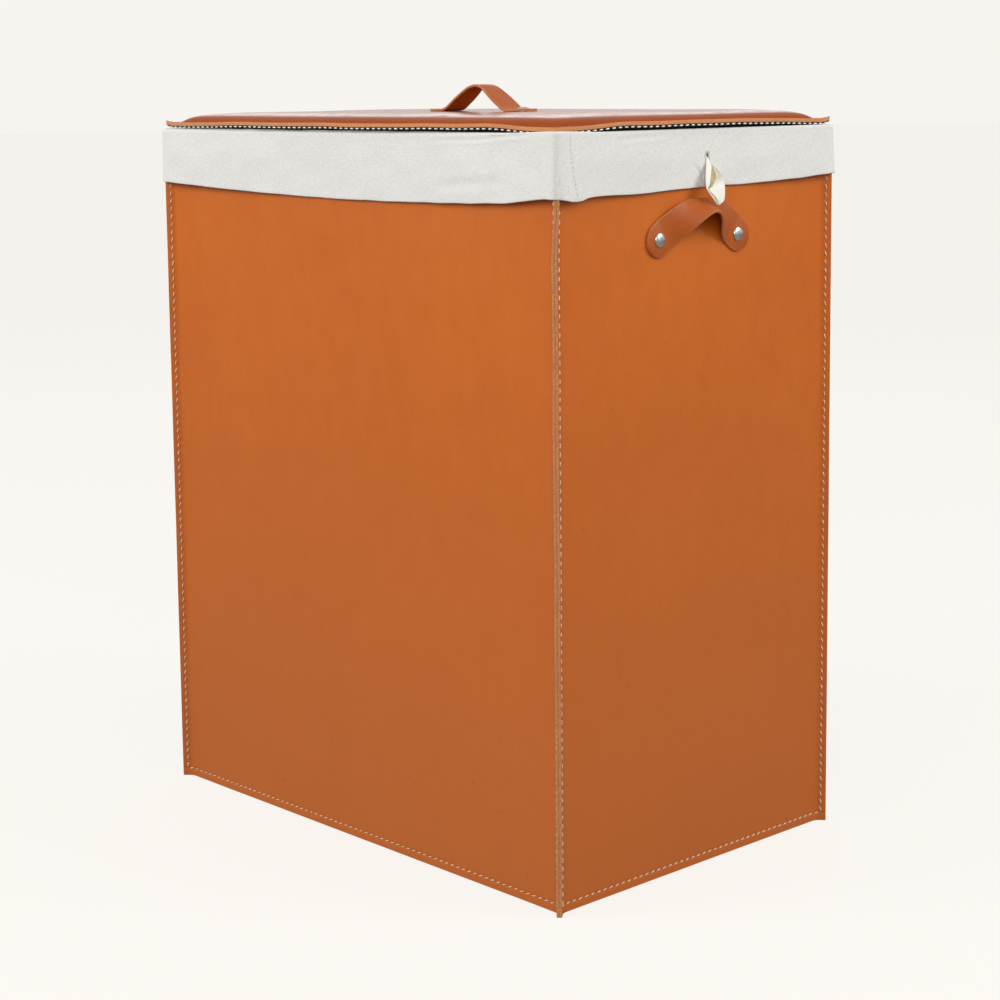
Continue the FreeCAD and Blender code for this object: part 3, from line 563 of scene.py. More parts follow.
def flange_shift(side, along, out, up):
    """How far a corner flange leans and wobbles, as moves along the side and out of it."""
    sides = list(TURN)
    corner = np.where(along > 0, sides.index(side), (sides.index(side) - 1) % 4)
    depth = (np.abs(along) - half_sizes(side)[0] + out) * DIAGONAL + LEATHER
    share = np.clip(depth / (OUTER_TIP.sum() * DIAGONAL + LEATHER), 0, 1) ** 2
    lean = 0
    foot, rim = NEAR_LEAN
    near_lean = foot + (rim - foot) * up / WALL_TOP
    for number in range(4):
        wobble = waves(up, 0, (0.30, 95, 40 + number), (0.12, 22, 50 + number))
        lean = lean + (corner == number) * (wobble + (near_lean if number == 0 else 0))
    lean = lean * share * DIAGONAL * (1 - smooth_step(CUFF_REACH - 35 * MM, CUFF_REACH, up))
    return lean, np.where(along > 0, -lean, lean)


def panel_wave(side, along, up):
    """Soft unevenness of a wall panel, gone at its bends."""
    length = half_sizes(side)[0]
    flat = 1 - smooth_step(length - 45 * MM, length - 8 * MM, np.abs(along))
    return flat * waves(along, up, (0.40, 210, TURN[side]), (0.10, 60, TURN[side] + 1))


def wall_section(length):
    """Plan of a wall panel: a closed outline of (along, out) points."""
    tip = OUTER_TIP + (length, 0)
    right = [(length - LEATHER * math.sqrt(2), 0), tip, (length + FLANGE, FLANGE),
             (length - LEATHER, -LEATHER)]
    left = [(-x, y) for x, y in reversed(right)]
    radii = [BEND, EDGE_ROUND, EDGE_ROUND, BEND + LEATHER]
    rounded = round_corners(right + left, radii + radii[::-1])
    return divide(rounded, lambda gap: 14 * MM if gap > 12 * MM else 0.9 * MM)


def wall(side):
    """A wall panel with its two half flanges, pulled in where it is sewn."""
    length = half_sizes(side)[0]
    section = wall_section(length)
    up = np.unique(np.concatenate([
        [0.4 * MM, WALL_TOP - 0.4 * MM, WALL_TOP],
        np.arange(0, WALL_TOP, STITCH_PITCH / 2),
        BASE_ROW + np.linspace(-2, 2, 7) * MM,
    ]).round(6))[:, None]
    along, out = section[None, :, 0] + 0 * up, section[None, :, 1] + 0 * up
    tip = OUTER_TIP + (length, 0)
    from_tip = (tip.sum() - np.abs(along) - out) * DIAGONAL
    on_flange = (np.abs(np.abs(along) - out - tip[0] + tip[1]) < EDGE_ROUND) & (from_tip < 8 * MM)
    pull = 0.75 + 0.25 * np.cos(up * math.tau / STITCH_PITCH)
    sewn = on_flange * bump(from_tip, STITCH_INSET, 1.1 * MM) * pull
    hemmed = (out > -LEATHER / 2) * bump(up, BASE_ROW, 1.1 * MM)
    depth = GROOVE * np.maximum(sewn, hemmed)
    lean_along, lean_out = flange_shift(side, along, out, up)
    aside = np.where(on_flange, DIAGONAL, 0) * np.sign(along)
    straight = np.where(on_flange, DIAGONAL, 1)
    points = on_side(side, along + depth * aside + lean_along,
                     out - depth * straight + panel_wave(side, along, up) + lean_out, up)
    count, rows = len(section), len(up)
    at_tip = np.abs(section[:, 0]) + section[:, 1] > tip.sum() - EDGE_ROUND
    faces = strip_faces(rows, count)
    cut = [int(at_tip[face[0] % count] and at_tip[face[1] % count]) for face in faces]
    faces += [tuple(range(count))[::-1], tuple(range((rows - 1) * count, rows * count))]
    made = piece(f"{side}_wall", points, faces, [WALL_HIDE, RAW_EDGE], "hamper", "wall_leather",
                 cut + [1, 1])
    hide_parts(f"{side}_wall_leather")


def flange_rows(side):
    """Stitches up both flanges of a side, on their outer faces."""
    length = half_sizes(side)[0]
    spot = OUTER_TIP + (length, 0) - STITCH_INSET * DIAGONAL
    up = np.arange(BASE_ROW + STITCH_PITCH / 2, WALL_TOP, STITCH_PITCH)
    for end in (-1, 1):
        lean_along, lean_out = flange_shift(side, end * spot[0] + 0 * up, spot[1], up)
        centres = on_side(side, end * spot[0] + lean_along, spot[1] + lean_out, up)
        facing = on_side(side, end * (spot[0] - DIAGONAL), spot[1] + DIAGONAL, 0.0)
        facing = facing - on_side(side, end * spot[0], spot[1], 0.0)
        yield centres, np.broadcast_to((0.0, 0.0, 1.0), centres.shape), facing, end * STITCH_SLANT


def base_row(side):
    """Stitches along the foot of a wall and out over both its flanges."""
    length = half_sizes(side)[0]
    tip = OUTER_TIP + (length, 0) - STITCH_INSET * DIAGONAL
    corners = [(0, 0), (length - LEATHER * math.sqrt(2), 0), tip]
    half = np.array(round_corners(corners, [0, BEND, 0], closed=False))
    line = np.vstack([half[:0:-1] * (-1, 1), half])
    out = line[:, 1] + panel_wave(side, line[:, 0], BASE_ROW) - GROOVE
    centres, ahead = spaced(on_side(side, line[:, 0], out, BASE_ROW), STITCH_PITCH)
    return centres, ahead, np.cross(ahead, (0.0, 0.0, 1.0)), STITCH_SLANT


def hamper_walls():
    """The four walls and all their stitches."""
    rows = []
    for side in TURN:
        wall(side)
        rows += [*flange_rows(side), base_row(side)]
    stitches("hamper_stitching", rows, THREAD, "hamper", "sewing_thread")


# ---- linen cuff --------------------------------------------------------------------------

CUFF_THICK = 1.6 * MM
CUFF_GAP = 0.6 * MM
HEM_ROUND = CUFF_THICK / 2
TOP_ROUND = 1.5 * MM
SHOULDER = OUTER_TIP + (0, 0.57 * MM)
MITRE = FLANGE + 0.285 * MM
BAG_INNER = BAG_FACE + FABRIC
SEAM_AT = -152.6 * MM
SEAM_SPAN = 14 * MM
SLOT_AT = (8.5 * MM, TAPE_LOW + 3.5 * MM)
SLOT_HALF = (1.5 * MM, 6.0 * MM)
# At the corners after the front, right, back and left sides, the cuff stands out at its foot
# and is drawn in at its top.
FLARE = np.array([0.3, 0.9, 0.6, 0.2]) * MM
NECK = np.array([0.3, 1.6, 1.0, 0.5]) * MM
LIP = 1.3 * MM
LEFT_DIP = 1.7 * MM
NOSE_POINTS = 4
NOSE_PASSES = 4
NOSE_REACH = 9 * MM
CUFF_DROP = 46 * MM
HANG = 0.75 * MM
SEAM_SLANT = 7.5 * MM
PUCKER = (0.06 * MM, 0.16 * MM)
PUCKER_PITCH = 4.4 * MM
TAPE_DEPTHS = (0.5 * MM, 1.1 * MM)
SLOT_STITCH = (2.0 * MM, 0.24 * MM)
SEAM_STITCH = (1.9 * MM, 0.20 * MM)
# How far the hem hangs below the cuff's top, and the creases' ends, widths and depths. Places
# are along the side and up from the cuff's top, all in millimetres.
HEMS = {
    "front": [(-256, 47.9), (-138, 53), (-60, 55.4), (26, 56.2), (124, 55.1), (204, 52.7),
              (249, 48.7), (256, 48.7)],
    "right": [(-166, 48.7), (-158, 50.6), (-149, 50.6), (-128, 48.4), (-72, 48.4), (-47, 47.4),
              (5, 45.8), (54, 45.2), (109, 43.4), (166, 40)],
    "back": [(-256, 40.5), (-150, 48), (-20, 52), (110, 50), (256, 46)],
    "left": [(-166, 46), (-143, 48), (-60, 51), (50, 52), (120, 49.5), (166, 47)],
}
PRESSED = {
    "front": [((110, -7.4), (172, -5.4), 1.3, 0.5), ((160, -6.2), (232, -0.5), 1.3, 0.7),
              ((120, -42), (196, -37), 4, 0.5)],
    "right": [((-7, -28), (5, -39), 1.4, 1.5), ((-100, -7), (-40, -4), 1.6, 0.4)],
    "back": [((-120, -7), (-30, -4), 1.6, 0.5)],
    "left": [((20, -8), (110, -4), 1.6, 0.5)],
}


def cuff_columns(side):
    """Places of the cuff's columns of points along a side, closer at a seam or a slot."""
    length = half_sizes(side)[0]
    columns = np.linspace(-length, length, round(length / MM) + 1)
    spots = [(SEAM_AT, 6 * MM, 33)] if side in ("left", "right") else []
    if side == "right":
        spots.append((SLOT_AT[0], 5 * MM, 41))
    for middle, reach, count in spots:
        columns = columns[np.abs(columns - middle) > reach + 0.5 * MM]
        columns = np.concatenate([columns, middle + np.linspace(-reach, reach, count)])
    return np.sort(columns)


def cuff_line(side):
    """Plan of the cuff's inner face from one corner's diagonal to the next, and its facing."""
    length = half_sizes(side)[0]
    shoulder = SHOULDER + (length, 0)
    mitre = np.array([length + MITRE, MITRE])
    along = cuff_columns(side)
    out = CUFF_GAP + (shoulder[1] - CUFF_GAP) * (along / shoulder[0]) ** 2
    nose = shoulder + (mitre - shoulder) * np.linspace(0, 1, NOSE_POINTS)[:, None]
    line = np.vstack([nose[::-1] * (-1, 1), xyz(along, out), nose])
    for _ in range(NOSE_PASSES):
        mean = (line[:-2] + 2 * line[1:-1] + line[2:]) / 4
        at_end = np.abs(line[1:-1, :1]) > length - NOSE_REACH
        line[1:-1] = np.where(at_end, mean, line[1:-1])
    ahead = np.gradient(line, axis=0)
    facing = unit(xyz(-ahead[:, 1], ahead[:, 0]))
    facing[0], facing[-1] = (-DIAGONAL, DIAGONAL), (DIAGONAL, DIAGONAL)
    return line, facing


def cuff_hang(side, along, up):
    """The cuff's slack folds, as a distance out of its smooth line."""
    length = half_sizes(side)[0]
    number = list(TURN).index(side)
    ends = smooth_step(length - 16 * MM, length + 3 * MM, np.abs(along))
    low = 1 - smooth_step(CUFF_TOP - 26 * MM, CUFF_TOP - 3 * MM, up)
    hang = HANG * low * (0.9 + ripple(along, up / 3, 120 * MM, 70 + number))
    crumple = waves(along, up, (0.30, 34, 75 + number), (0.10, 12, 80 + number))
    flare = np.where(along > 0, FLARE[number], FLARE[number - 1])
    neck = np.where(along > 0, NECK[number], NECK[number - 1])
    height = np.clip(1 + (up - CUFF_TOP) / CUFF_DROP, 0, 1)
    folds = waves(0 * along, up, (0.25, 26, 85))
    return (1 - ends) * (hang + crumple) + ends * (flare * (1 - height) - neck * height + folds)


def cuff_lip(side, along):
    """How the cuff's top wanders: up beside the lid at the near corner, down at the left."""
    length = half_sizes(side)[0]
    if side in ("front", "right"):
        rise = LIP * bump(along, length * (1 if side == "front" else -1), 26 * MM)
    else:
        rise = 0 * along
    if side in ("front", "left"):
        away = along / length if side == "front" else -along / length
        rise = rise - LEFT_DIP * (1 - smooth_step(0.1, 0.95, away))
    return rise


def pressed_line(along, up, start, end, width, depth):
    """A crease from start to end with a ridge on each side; only along and up are in metres."""
    start, run = np.array(start) * MM, (np.array(end) - start) * MM
    share = ((along - start[0]) * run[0] + (up - start[1]) * run[1]) / (run @ run)
    share = np.clip(share, 0, 1)
    away = np.hypot(along - start[0] - share * run[0], up - start[1] - share * run[1]) / MM
    fade = np.sqrt(4 * share * (1 - share))
    return depth * MM * fade * (0.5 * bump(away, 1.8 * width, width) - bump(away, 0, width))


def seam_relief(along, up):
    """A sewn seam, with puckers on both sides that are strongest at its top."""
    away = np.abs(along - SEAM_AT)
    seam = 0.20 * MM * bump(away, 1.6 * MM, 0.9 * MM) - 0.50 * MM * bump(away, 0, 0.5 * MM)
    ribs = np.sin((up - 0.5 * away) * math.tau / PUCKER_PITCH)
    strength = PUCKER[0] + PUCKER[1] * smooth_step(CUFF_TOP - 30 * MM, CUFF_TOP - 8 * MM, up)
    return seam + strength * ribs * bump(away, 2.8 * MM, 2.4 * MM)


def slot_share(along, up):
    """1 inside the tape's buttonhole and 0 outside it."""
    wide = np.abs(along - SLOT_AT[0]) / SLOT_HALF[0]
    tall = np.abs(up - SLOT_AT[1]) / SLOT_HALF[1]
    return 1 - smooth_step(0.85, 1.1, np.hypot(wide, tall ** 3))


def cuff_details(side, along, up):
    """Creases, the seam and the buttonhole, on the cuff's outer face only."""
    total = 0.0
    for mark in PRESSED[side]:
        total = total + pressed_line(along, up - CUFF_TOP, *mark)
    if side in ("left", "right"):
        total = total + seam_relief(along, up)
    if side == "right":
        around = np.hypot((along - SLOT_AT[0]) / 2.6, (up - SLOT_AT[1]) / 8.6) / MM
        total = total + 0.35 * MM * bump(around, 1.0, 0.25) - 1.2 * MM * slot_share(along, up)
    return total


def seam_slant(side, along, up):
    """How far the cloth is pulled along the side where its seam slants."""
    if side in ("front", "back"):
        return 0 * along * up
    slant = SEAM_SLANT * (np.clip(CUFF_TOP - 3 * MM - up, 0, 1) / CUFF_DROP) ** 2
    return slant * bump(along, SEAM_AT, SEAM_SPAN)


def cuff_face(side, along, up):
    """Frame points of the cuff's outer face."""
    line = cuff_line(side)[0]
    out = np.interp(along, line[:, 0], line[:, 1]) + CUFF_THICK
    out = out + cuff_hang(side, along, up) + cuff_details(side, along, up)
    return on_side(side, along + seam_slant(side, along, up), out, up)


def cuff_rows(side):
    """Rows of points round the cuff's cloth for one side, and their places on the cloth."""
    line, facing = cuff_line(side)
    along = line[:, 0]
    wave = waves(along, 0, (0.25, 24, 90)) * (np.abs(along) < half_sizes(side)[0])
    hem = CUFF_TOP - through(np.array(HEMS[side]) * MM, along) + wave
    low, high = hem + HEM_ROUND, CUFF_TOP - TOP_ROUND
    turn = np.radians([30, 60, 90, 120, 150])[:, None]
    fold = np.radians([25, 50, 72, 90])[:, None]
    face = np.linspace(0, 1, 34)[:, None]
    back = np.linspace(1, 0, 14)[:, None]
    ups = [low - HEM_ROUND * np.sin(turn), low + face * (high - low),
           high + TOP_ROUND * np.sin(fold) + 0 * along, CUFF_TOP + 0 * turn * along,
           RIM_TOP + 0 * turn[:2] * along, low + back * (RIM_TOP - low)]
    outs = [HEM_ROUND * (1 - np.cos(turn)), CUFF_THICK + 0 * face,
            CUFF_THICK - TOP_ROUND * (1 - np.cos(fold)), 0 * turn, 0 * turn[:2], 0 * back]
    inward = np.concatenate([np.zeros(len(turn) + len(face) + len(fold)), [0.12, 0.35, 0.6, 0.85, 1],
                             [1, 0.5], np.zeros(len(back))])[:, None]
    up, out = np.vstack(ups), np.vstack(outs)
    up = up - 0.25 * MM * (1 - inward) * (inward > 0) * (1 + ripple(along, 0, 45 * MM, 91))
    lip = smooth_step(CUFF_TOP - 18 * MM, CUFF_TOP, up) * (inward < 0.1)
    lip[-len(back):] = 0
    up = up + lip * cuff_lip(side, along)
    out = out + cuff_hang(side, along, up) * (1 - inward)
    outside = np.zeros(len(up))
    outside[len(turn):len(turn) + len(face)] = 1
    marked = outside[:, None] * smooth_step(0, 2 * MM, up - low)
    out = out + marked * cuff_details(side, along, up)
    bag = np.stack([along * (half_sizes(side)[0] - BAG_INNER) / along[-1], 0 * along - BAG_INNER])
    plan_along = (along + facing[:, 0] * out) * (1 - inward) + bag[0] * inward
    plan_out = (line[:, 1] + facing[:, 1] * out) * (1 - inward) + bag[1] * inward
    plan_along = plan_along + seam_slant(side, along, up) * (inward == 0)
    reach = np.concatenate([[0], np.cumsum(np.linalg.norm(np.diff(line, axis=0), axis=1))])
    steps = np.hypot(np.diff(plan_out, axis=0), np.diff(up, axis=0))
    height = np.vstack([0 * along, np.cumsum(steps, axis=0)])
    holes = marked * slot_share(along, up) if side == "right" else 0 * up
    return on_side(side, plan_along, plan_out, up), reach, height, holes


def cuff():
    """The liner's folded cuff: one ring of cloth over the rim and down round the flanges."""
    points, across, heights, holes, start = [], [], [], [], 0.0
    for side in TURN:
        grid, reach, height, hole = cuff_rows(side)
        points.append(grid[:, :-1])
        across.append(start + reach[:-1] + 0 * height[:, :-1])
        heights.append(height[:, :-1])
        holes.append(hole[:, :-1])
        start += reach[-1]
    points = np.concatenate(points, axis=1)
    uv = xyz(np.concatenate(across, axis=1), np.concatenate(heights, axis=1))
    hole = np.concatenate(holes, axis=1).ravel()
    faces = ring_faces(*points.shape[:2])
    # Faces inside the buttonhole take the near-black cloth, which is painted shade in the hole.
    kinds = [int(hole[list(face)].mean() > 0.5) for face in faces]
    made = piece("liner_cuff", points, faces, [LINEN, SLOT_SHADE], "liner", "liner_canvas",
                 kinds, uv, around=start)
    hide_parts("cuff_front", "cuff_right", "cuff_back", "cuff_left")


def tape_ring():
    """The drawstring tape lying in the cuff's hem channel, open where its ends come out."""
    rows, places = [], []
    for side in TURN:
        line, facing = cuff_line(side)
        line, facing = line[:-1], facing[:-1]
        along = line[:, 0]
        inner, outer = TAPE_DEPTHS
        grid = []
        for depth, up in ((inner, TAPE_LOW), (inner, TAPE_HIGH), (outer, TAPE_HIGH), (outer, TAPE_LOW)):
            out = depth + cuff_hang(side, along, up)
            plan = line + facing * out[:, None]
            grid.append(on_side(side, plan[:, 0] + seam_slant(side, along, up), plan[:, 1], up))
        rows.append(np.array(grid))
        places.append(np.where(side == "right", np.abs(along - SLOT_AT[0]), 1.0))
    points, places = np.concatenate(rows, axis=1), np.concatenate(places)
    shut = places > SLOT_HALF[0] + 0.5 * MM
    first = np.flatnonzero(~shut)[-1] + 1
    points = np.roll(points, -first, axis=1)[:, np.roll(shut, -first)]
    columns = points.shape[1]
    faces = [tuple(corner % (4 * columns) for corner in reversed(face))
             for face in strip_faces(5, columns, wrap=False)]
    ends = [tuple(row * columns for row in range(4)),
            tuple(row * columns + columns - 1 for row in (3, 2, 1, 0))]
    reach = np.linspace(0, 4 * (HALF_X + HALF_Y), columns)
    uv = xyz(reach, np.array([0, 13, 14, 27])[:, None] * MM)
    made = piece("drawstring", points, faces + ends, [TAPE], "liner", "cotton_tape", uv=uv)
    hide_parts("drawstring_tape")


def cuff_stitches():
    """The worked edge of the buttonhole and the broken stitches in the cuff's seams, coloured dark brown
    as painted shade of the seam.
    """
    angles = np.arange(0, math.tau, math.tau / 46)
    wide = (SLOT_HALF[0] + 0.9 * MM) * np.sign(np.cos(angles)) * np.sqrt(np.abs(np.cos(angles)))
    tall = (SLOT_HALF[1] + 0.9 * MM) * np.sin(angles)
    along, up = SLOT_AT[0] + wide, SLOT_AT[1] + tall
    centres = cuff_face("right", along, up)
    inner = on_side("right", SLOT_AT[0] + wide * 0.3, 0, SLOT_AT[1] + tall * 0.86)
    ahead = unit((centres - inner) * (0, 1, 1))
    made = stitches("buttonhole_edge", [(centres, ahead, (1.0, 0.0, 0.0), 0)], LINEN_THREAD,
                    "liner", "sewing_thread", *SLOT_STITCH)
    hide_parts("buttonhole_stitching")
    rows = []
    for side in ("left", "right"):
        up = np.arange(CUFF_TOP - 45 * MM, CUFF_TOP - 2 * MM, 3.3 * MM)
        centres = cuff_face(side, SEAM_AT + 0 * up, up)
        ahead = unit(np.gradient(centres, axis=0))
        facing = on_side(side, 0.0, 1.0, 0.0) - on_side(side, 0.0, 0.0, 0.0)
        rows.append((centres, ahead, facing, 12))
    stitches("cuff_seam_thread", rows, SEAM_SHADOW, "liner", "sewing_thread", *SEAM_STITCH)


# ---- linen bag ---------------------------------------------------------------------------

BAG_CORNER = 6 * MM
BAG_SWAY = 2.2 * MM
FLOOR_RISE = 0.9 * MM


def bag_sides():
    """The tube of cloth inside the hamper: loose in the middle, held at its floor and rim."""
    half_x, half_y = HALF_X - BAG_FACE, HALF_Y - BAG_FACE
    outline = round_corners([(half_x, -half_y), (half_x, half_y), (-half_x, half_y),
                             (-half_x, -half_y)], [BAG_CORNER] * 4, steps=3)
    outline = divide(outline, lambda gap: 8 * MM)
    ahead = unit(np.roll(outline, -1, axis=0) - np.roll(outline, 1, axis=0))
    outward = xyz(ahead[:, 1], -ahead[:, 0])
    reach = np.cumsum(np.linalg.norm(outline - np.roll(outline, 1, axis=0), axis=1))
    levels = np.linspace(BAG_BOTTOM + FABRIC, RIM_TOP - 0.1 * MM, 64)
    walls = np.concatenate([levels, levels[::-1]])[:, None]
    depth = np.repeat([0.0, FABRIC], len(levels))[:, None]
    hold = smooth_step(0, 60 * MM, walls - BAG_BOTTOM)
    hold = hold * (1 - smooth_step(WALL_TOP - 66 * MM, WALL_TOP - 6 * MM, walls))
    sway = ripple(reach, walls / 2, 190 * MM, 30) + 0.4 * ripple(reach, walls, 60 * MM, 31)
    depth = depth + hold * BAG_SWAY * np.clip(0.9 + sway, 0, 3)
    depth = depth + RIM_DRAW * (1 - walls / WALL_TOP)
    plan = outline - outward * depth[..., None]
    points = xyz(plan[..., 0], plan[..., 1], walls)
    faces = ring_faces(*points.shape[:2])
    uv = xyz(reach - reach[0], walls)
    made = piece("liner_sides", points, faces, [LINEN], "liner", "liner_canvas", uv=uv,
                 around=reach[-1])
    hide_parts("liner_front", "liner_right", "liner_back", "liner_left")


def bag_floor():
    """The bag's floor, lying loosely on the hamper's base."""
    half_x, half_y = HALF_X - BAG_FACE - RIM_DRAW, HALF_Y - BAG_FACE - RIM_DRAW
    x, y = rounded_grid(half_x, half_y, np.linspace(-1, 1, 81), np.linspace(-1, 1, 53), BAG_CORNER)
    rise = FLOOR_RISE * np.clip(0.8 + ripple(x, y, 130 * MM, 32), 0, 3)
    rise = rise * smooth_step(0, 40 * MM, inset_of(x, y, half_x, half_y, BAG_CORNER))
    low, high = xyz(x, y, BAG_BOTTOM + rise), xyz(x, y, BAG_BOTTOM + FABRIC + rise)
    uv = xyz(x, y)
    made = piece("liner_floor", np.stack([high, low]), slab_faces(*x.shape), [LINEN], "liner",
                 "liner_canvas", uv=np.stack([uv, uv]))
    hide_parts("liner_base")


# ---- drawstring tape end -----------------------------------------------------------------

TAPE_THICK = 0.7 * MM
TAPE_WIDE = 13 * MM
TAPE_LONG = 48 * MM
# Rows of points across the tape, from the slot to its tip, in millimetres: each point is
# out of the wall's face, then along and up from the slot's middle.
TAPE_SECTIONS = [
    [(1.2, -0.9, 4.6), (1.3, -0.3, 4.5), (1.1, 0.3, 4.2), (1.2, 0.8, 3.8), (1.3, 1.3, 3.4)],
    [(2.6, -0.9, 0.8), (3.4, 1.7, 0), (1.6, 2.3, -0.6), (1.9, 3.7, -1.8), (2.6, 4.5, -2.4)],
    [(6, -5.1, -6), (7.8, -0.9, -6.4), (2.8, 1.9, -7.4), (3.4, 7.1, -7), (6, 7.9, -6.4)],
    [(9.6, -9.5, -13), (10.8, -5.1, -12.8), (5.2, -0.1, -14.4), (6.6, 6.3, -13.8), (12, 7.9, -12)],
    [(12.4, -12.1, -19), (13.4, -9.1, -18.6), (8.6, -5.9, -20.4), (12.4, -4.5, -19.6),
     (18, 3.9, -19.8)],
    [(13.4, -12.5, -21.8), (13.9, -11.5, -21.8), (13.4, -10.1, -22.6), (14.2, -9.7, -22.8),
     (19.2, 2.8, -25.2)],
    [(16, -8.7, -28.2), (16.5, -7.5, -28.6), (17, -6.3, -29), (17.6, -4.9, -29.4), (20, 0.7, -31)],
    [(17.9, -4.5, -34.2), (18, -4.2, -34.3), (18.2, -3.9, -34.3), (18.4, -3.5, -34.3),
     (18.8, -3, -34)],
]


def tape_end():
    """The tape's free end: it comes out of the buttonhole folded lengthwise and hangs down."""
    rows, columns = 46, 25
    grid = refined((HALF_X, *SLOT_AT) + np.array(TAPE_SECTIONS) * MM, rows)
    grid = refined(grid.swapaxes(0, 1), columns).swapaxes(0, 1)
    normal = unit(np.cross(np.gradient(grid, axis=0), np.gradient(grid, axis=1)))
    points = np.stack([grid, grid - normal * TAPE_THICK])
    faces = slab_faces(rows, columns)
    share = np.tile(np.arange(columns - 1) / (columns - 1), rows - 1)
    kinds = np.zeros(len(faces), int)
    # The middle of the tape's width, inside its fold, takes the darker tape as painted shade.
    kinds[:len(share)] = (share > 0.24) & (share < 0.72)
    uv = xyz(np.linspace(0, TAPE_LONG, rows)[:, None], np.linspace(0, TAPE_WIDE, columns))
    made = piece("drawstring_end", points, faces, [TAPE, TAPE_INSIDE_SHADE], "liner", "cotton_tape",
                 kinds, np.stack([uv, uv]))
    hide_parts("drawstring_tape_end")


# ---- padded lid --------------------------------------------------------------------------

LID_CORNER = 6 * MM
LID_BORDER = 9 * MM
BORDER_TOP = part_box("lid_board")[1].z
LID_EDGE = 3.1 * MM
LID_PITCH = 7.0 * MM
EDGE_SOFT = 0.9 * MM
DOME_HIGH = LID_CROWN - BORDER_TOP - 0.8 * MM
DOME_RUN = 5.5 * MM
RAISE = 2.8 * MM
CURL = 2.4 * MM
CURL_REACH = 7 * MM
LID_STITCH = (4.6 * MM, 0.55 * MM)
SWELL = 1.0 * MM
SWELL_FRAMES = 20
SWELL_PASSES = 40


def lid_raise(x, y):
    """How far the flat border has lifted at its edge: little at the corners, but for their tips."""
    inset = inset_of(x, y, LID_X, LID_Y, LID_CORNER)
    near = np.hypot(x - LID_X, y + LID_Y)
    left = (1 - smooth_step(20 * MM, LID_X, x)) * (1 - smooth_step(-LID_Y, 0, y))
    raised = RAISE * (smooth_step(20 * MM, 82 * MM, near) - 0.05) * (1 - 0.5 * left)
    for corner_x, corner_y in ((1, 1), (-1, 1), (-1, -1)):
        away = np.hypot(x - corner_x * LID_X, y - corner_y * LID_Y)
        raised = raised * (0.2 + 0.8 * smooth_step(0, 130 * MM, away))
        raised = raised + CURL * bump(away, 0, CURL_REACH)
    raised = raised + waves(x, y, (0.25, 70, 12))
    return raised * np.clip(1 - inset / LID_BORDER, 0, 1) ** 1.2


def lid_top(x, y):
    """Height of the lid's leather: a flat stitched border, then a padded dome."""
    inset = inset_of(x, y, LID_X, LID_Y, LID_CORNER)
    border = LID_BASE + LID_EDGE + (BORDER_TOP - LID_BASE - LID_EDGE) * smooth_step(0, LID_BORDER, inset)
    soft = 1 - np.sqrt(1 - np.clip(1 - inset / EDGE_SOFT, 0, 1) ** 2)
    border = border + lid_raise(x, y) - 0.6 * EDGE_SOFT * soft
    border = border - 0.3 * MM * bump(inset, LID_BORDER / 2, 1.2 * MM)
    dome = DOME_HIGH
    for place, half in ((x, LID_X), (y, LID_Y)):
        dome = dome * (1 - np.exp(-np.clip(half - LID_BORDER - np.abs(place), 0, half) / DOME_RUN))
    wave = waves(x, y, (0.35, 160, 13)) * smooth_step(15 * MM, 50 * MM, inset)
    return border + dome + wave


def lid_lines(half):
    """Grid places from edge to edge, dense at the border; from -1 to 1."""
    edge = np.array([0, 0.3, 0.9, 2, 3.2, 4.5, 5.8, 7.4, 9, 9.8, 10.6, 11.2, 11.5, 12.6, 14, 16,
                     19, 23]) * MM
    inner = np.linspace(-half + 28 * MM, half - 28 * MM, round((2 * half - 56 * MM) / (4 * MM)) + 1)
    return np.concatenate([edge - half, inner, half - edge[::-1]]) / half


def inflate(pad, pinned, share):
    """Lets the pad's free cloth swell a little under pressure, then fixes the result.

    The cover is stiff leather, so only the long waves of the swelling are kept, and share says
    how much of them each point takes.
    """
    start = np.empty(len(pad.data.vertices) * 3)
    pad.data.vertices.foreach_get("co", start)
    start = start.reshape(-1, 3)
    group = pad.vertex_groups.new(name="sewn")
    group.add(pinned.tolist(), 1.0, "REPLACE")
    cloth = pad.modifiers.new("pressure", "CLOTH")
    cloth.settings.quality = 5
    cloth.settings.use_pressure = True
    cloth.settings.uniform_pressure_force = 1.2
    cloth.settings.effector_weights.gravity = 0
    cloth.settings.vertex_group_mass = "sewn"
    cloth.settings.tension_stiffness = 12
    cloth.settings.bending_stiffness = 2
    scene = bpy.context.scene
    for number in range(SWELL_FRAMES):
        scene.frame_set(number + 1)
    shaped = pad.evaluated_get(bpy.context.evaluated_depsgraph_get()).to_mesh()
    end = np.empty(len(start) * 3)
    shaped.vertices.foreach_get("co", end)
    move = end.reshape(-1, 3) - start
    far = np.linalg.norm(move, axis=1)[:, None]
    move *= np.minimum(1, SWELL / np.maximum(far, 1e-9))
    move = move.reshape(2, *share.shape, 3)
    for _ in range(SWELL_PASSES):
        for axis in (1, 2):
            move = (np.roll(move, 1, axis) + 2 * move + np.roll(move, -1, axis)) / 4
    move = (move * share[None, :, :, None]).reshape(-1, 3)
    pad.modifiers.remove(cloth)
    pad.vertex_groups.remove(group)
    pad.data.vertices.foreach_set("co", (start + move).ravel())
    pad.data.update()
    scene.frame_set(1)


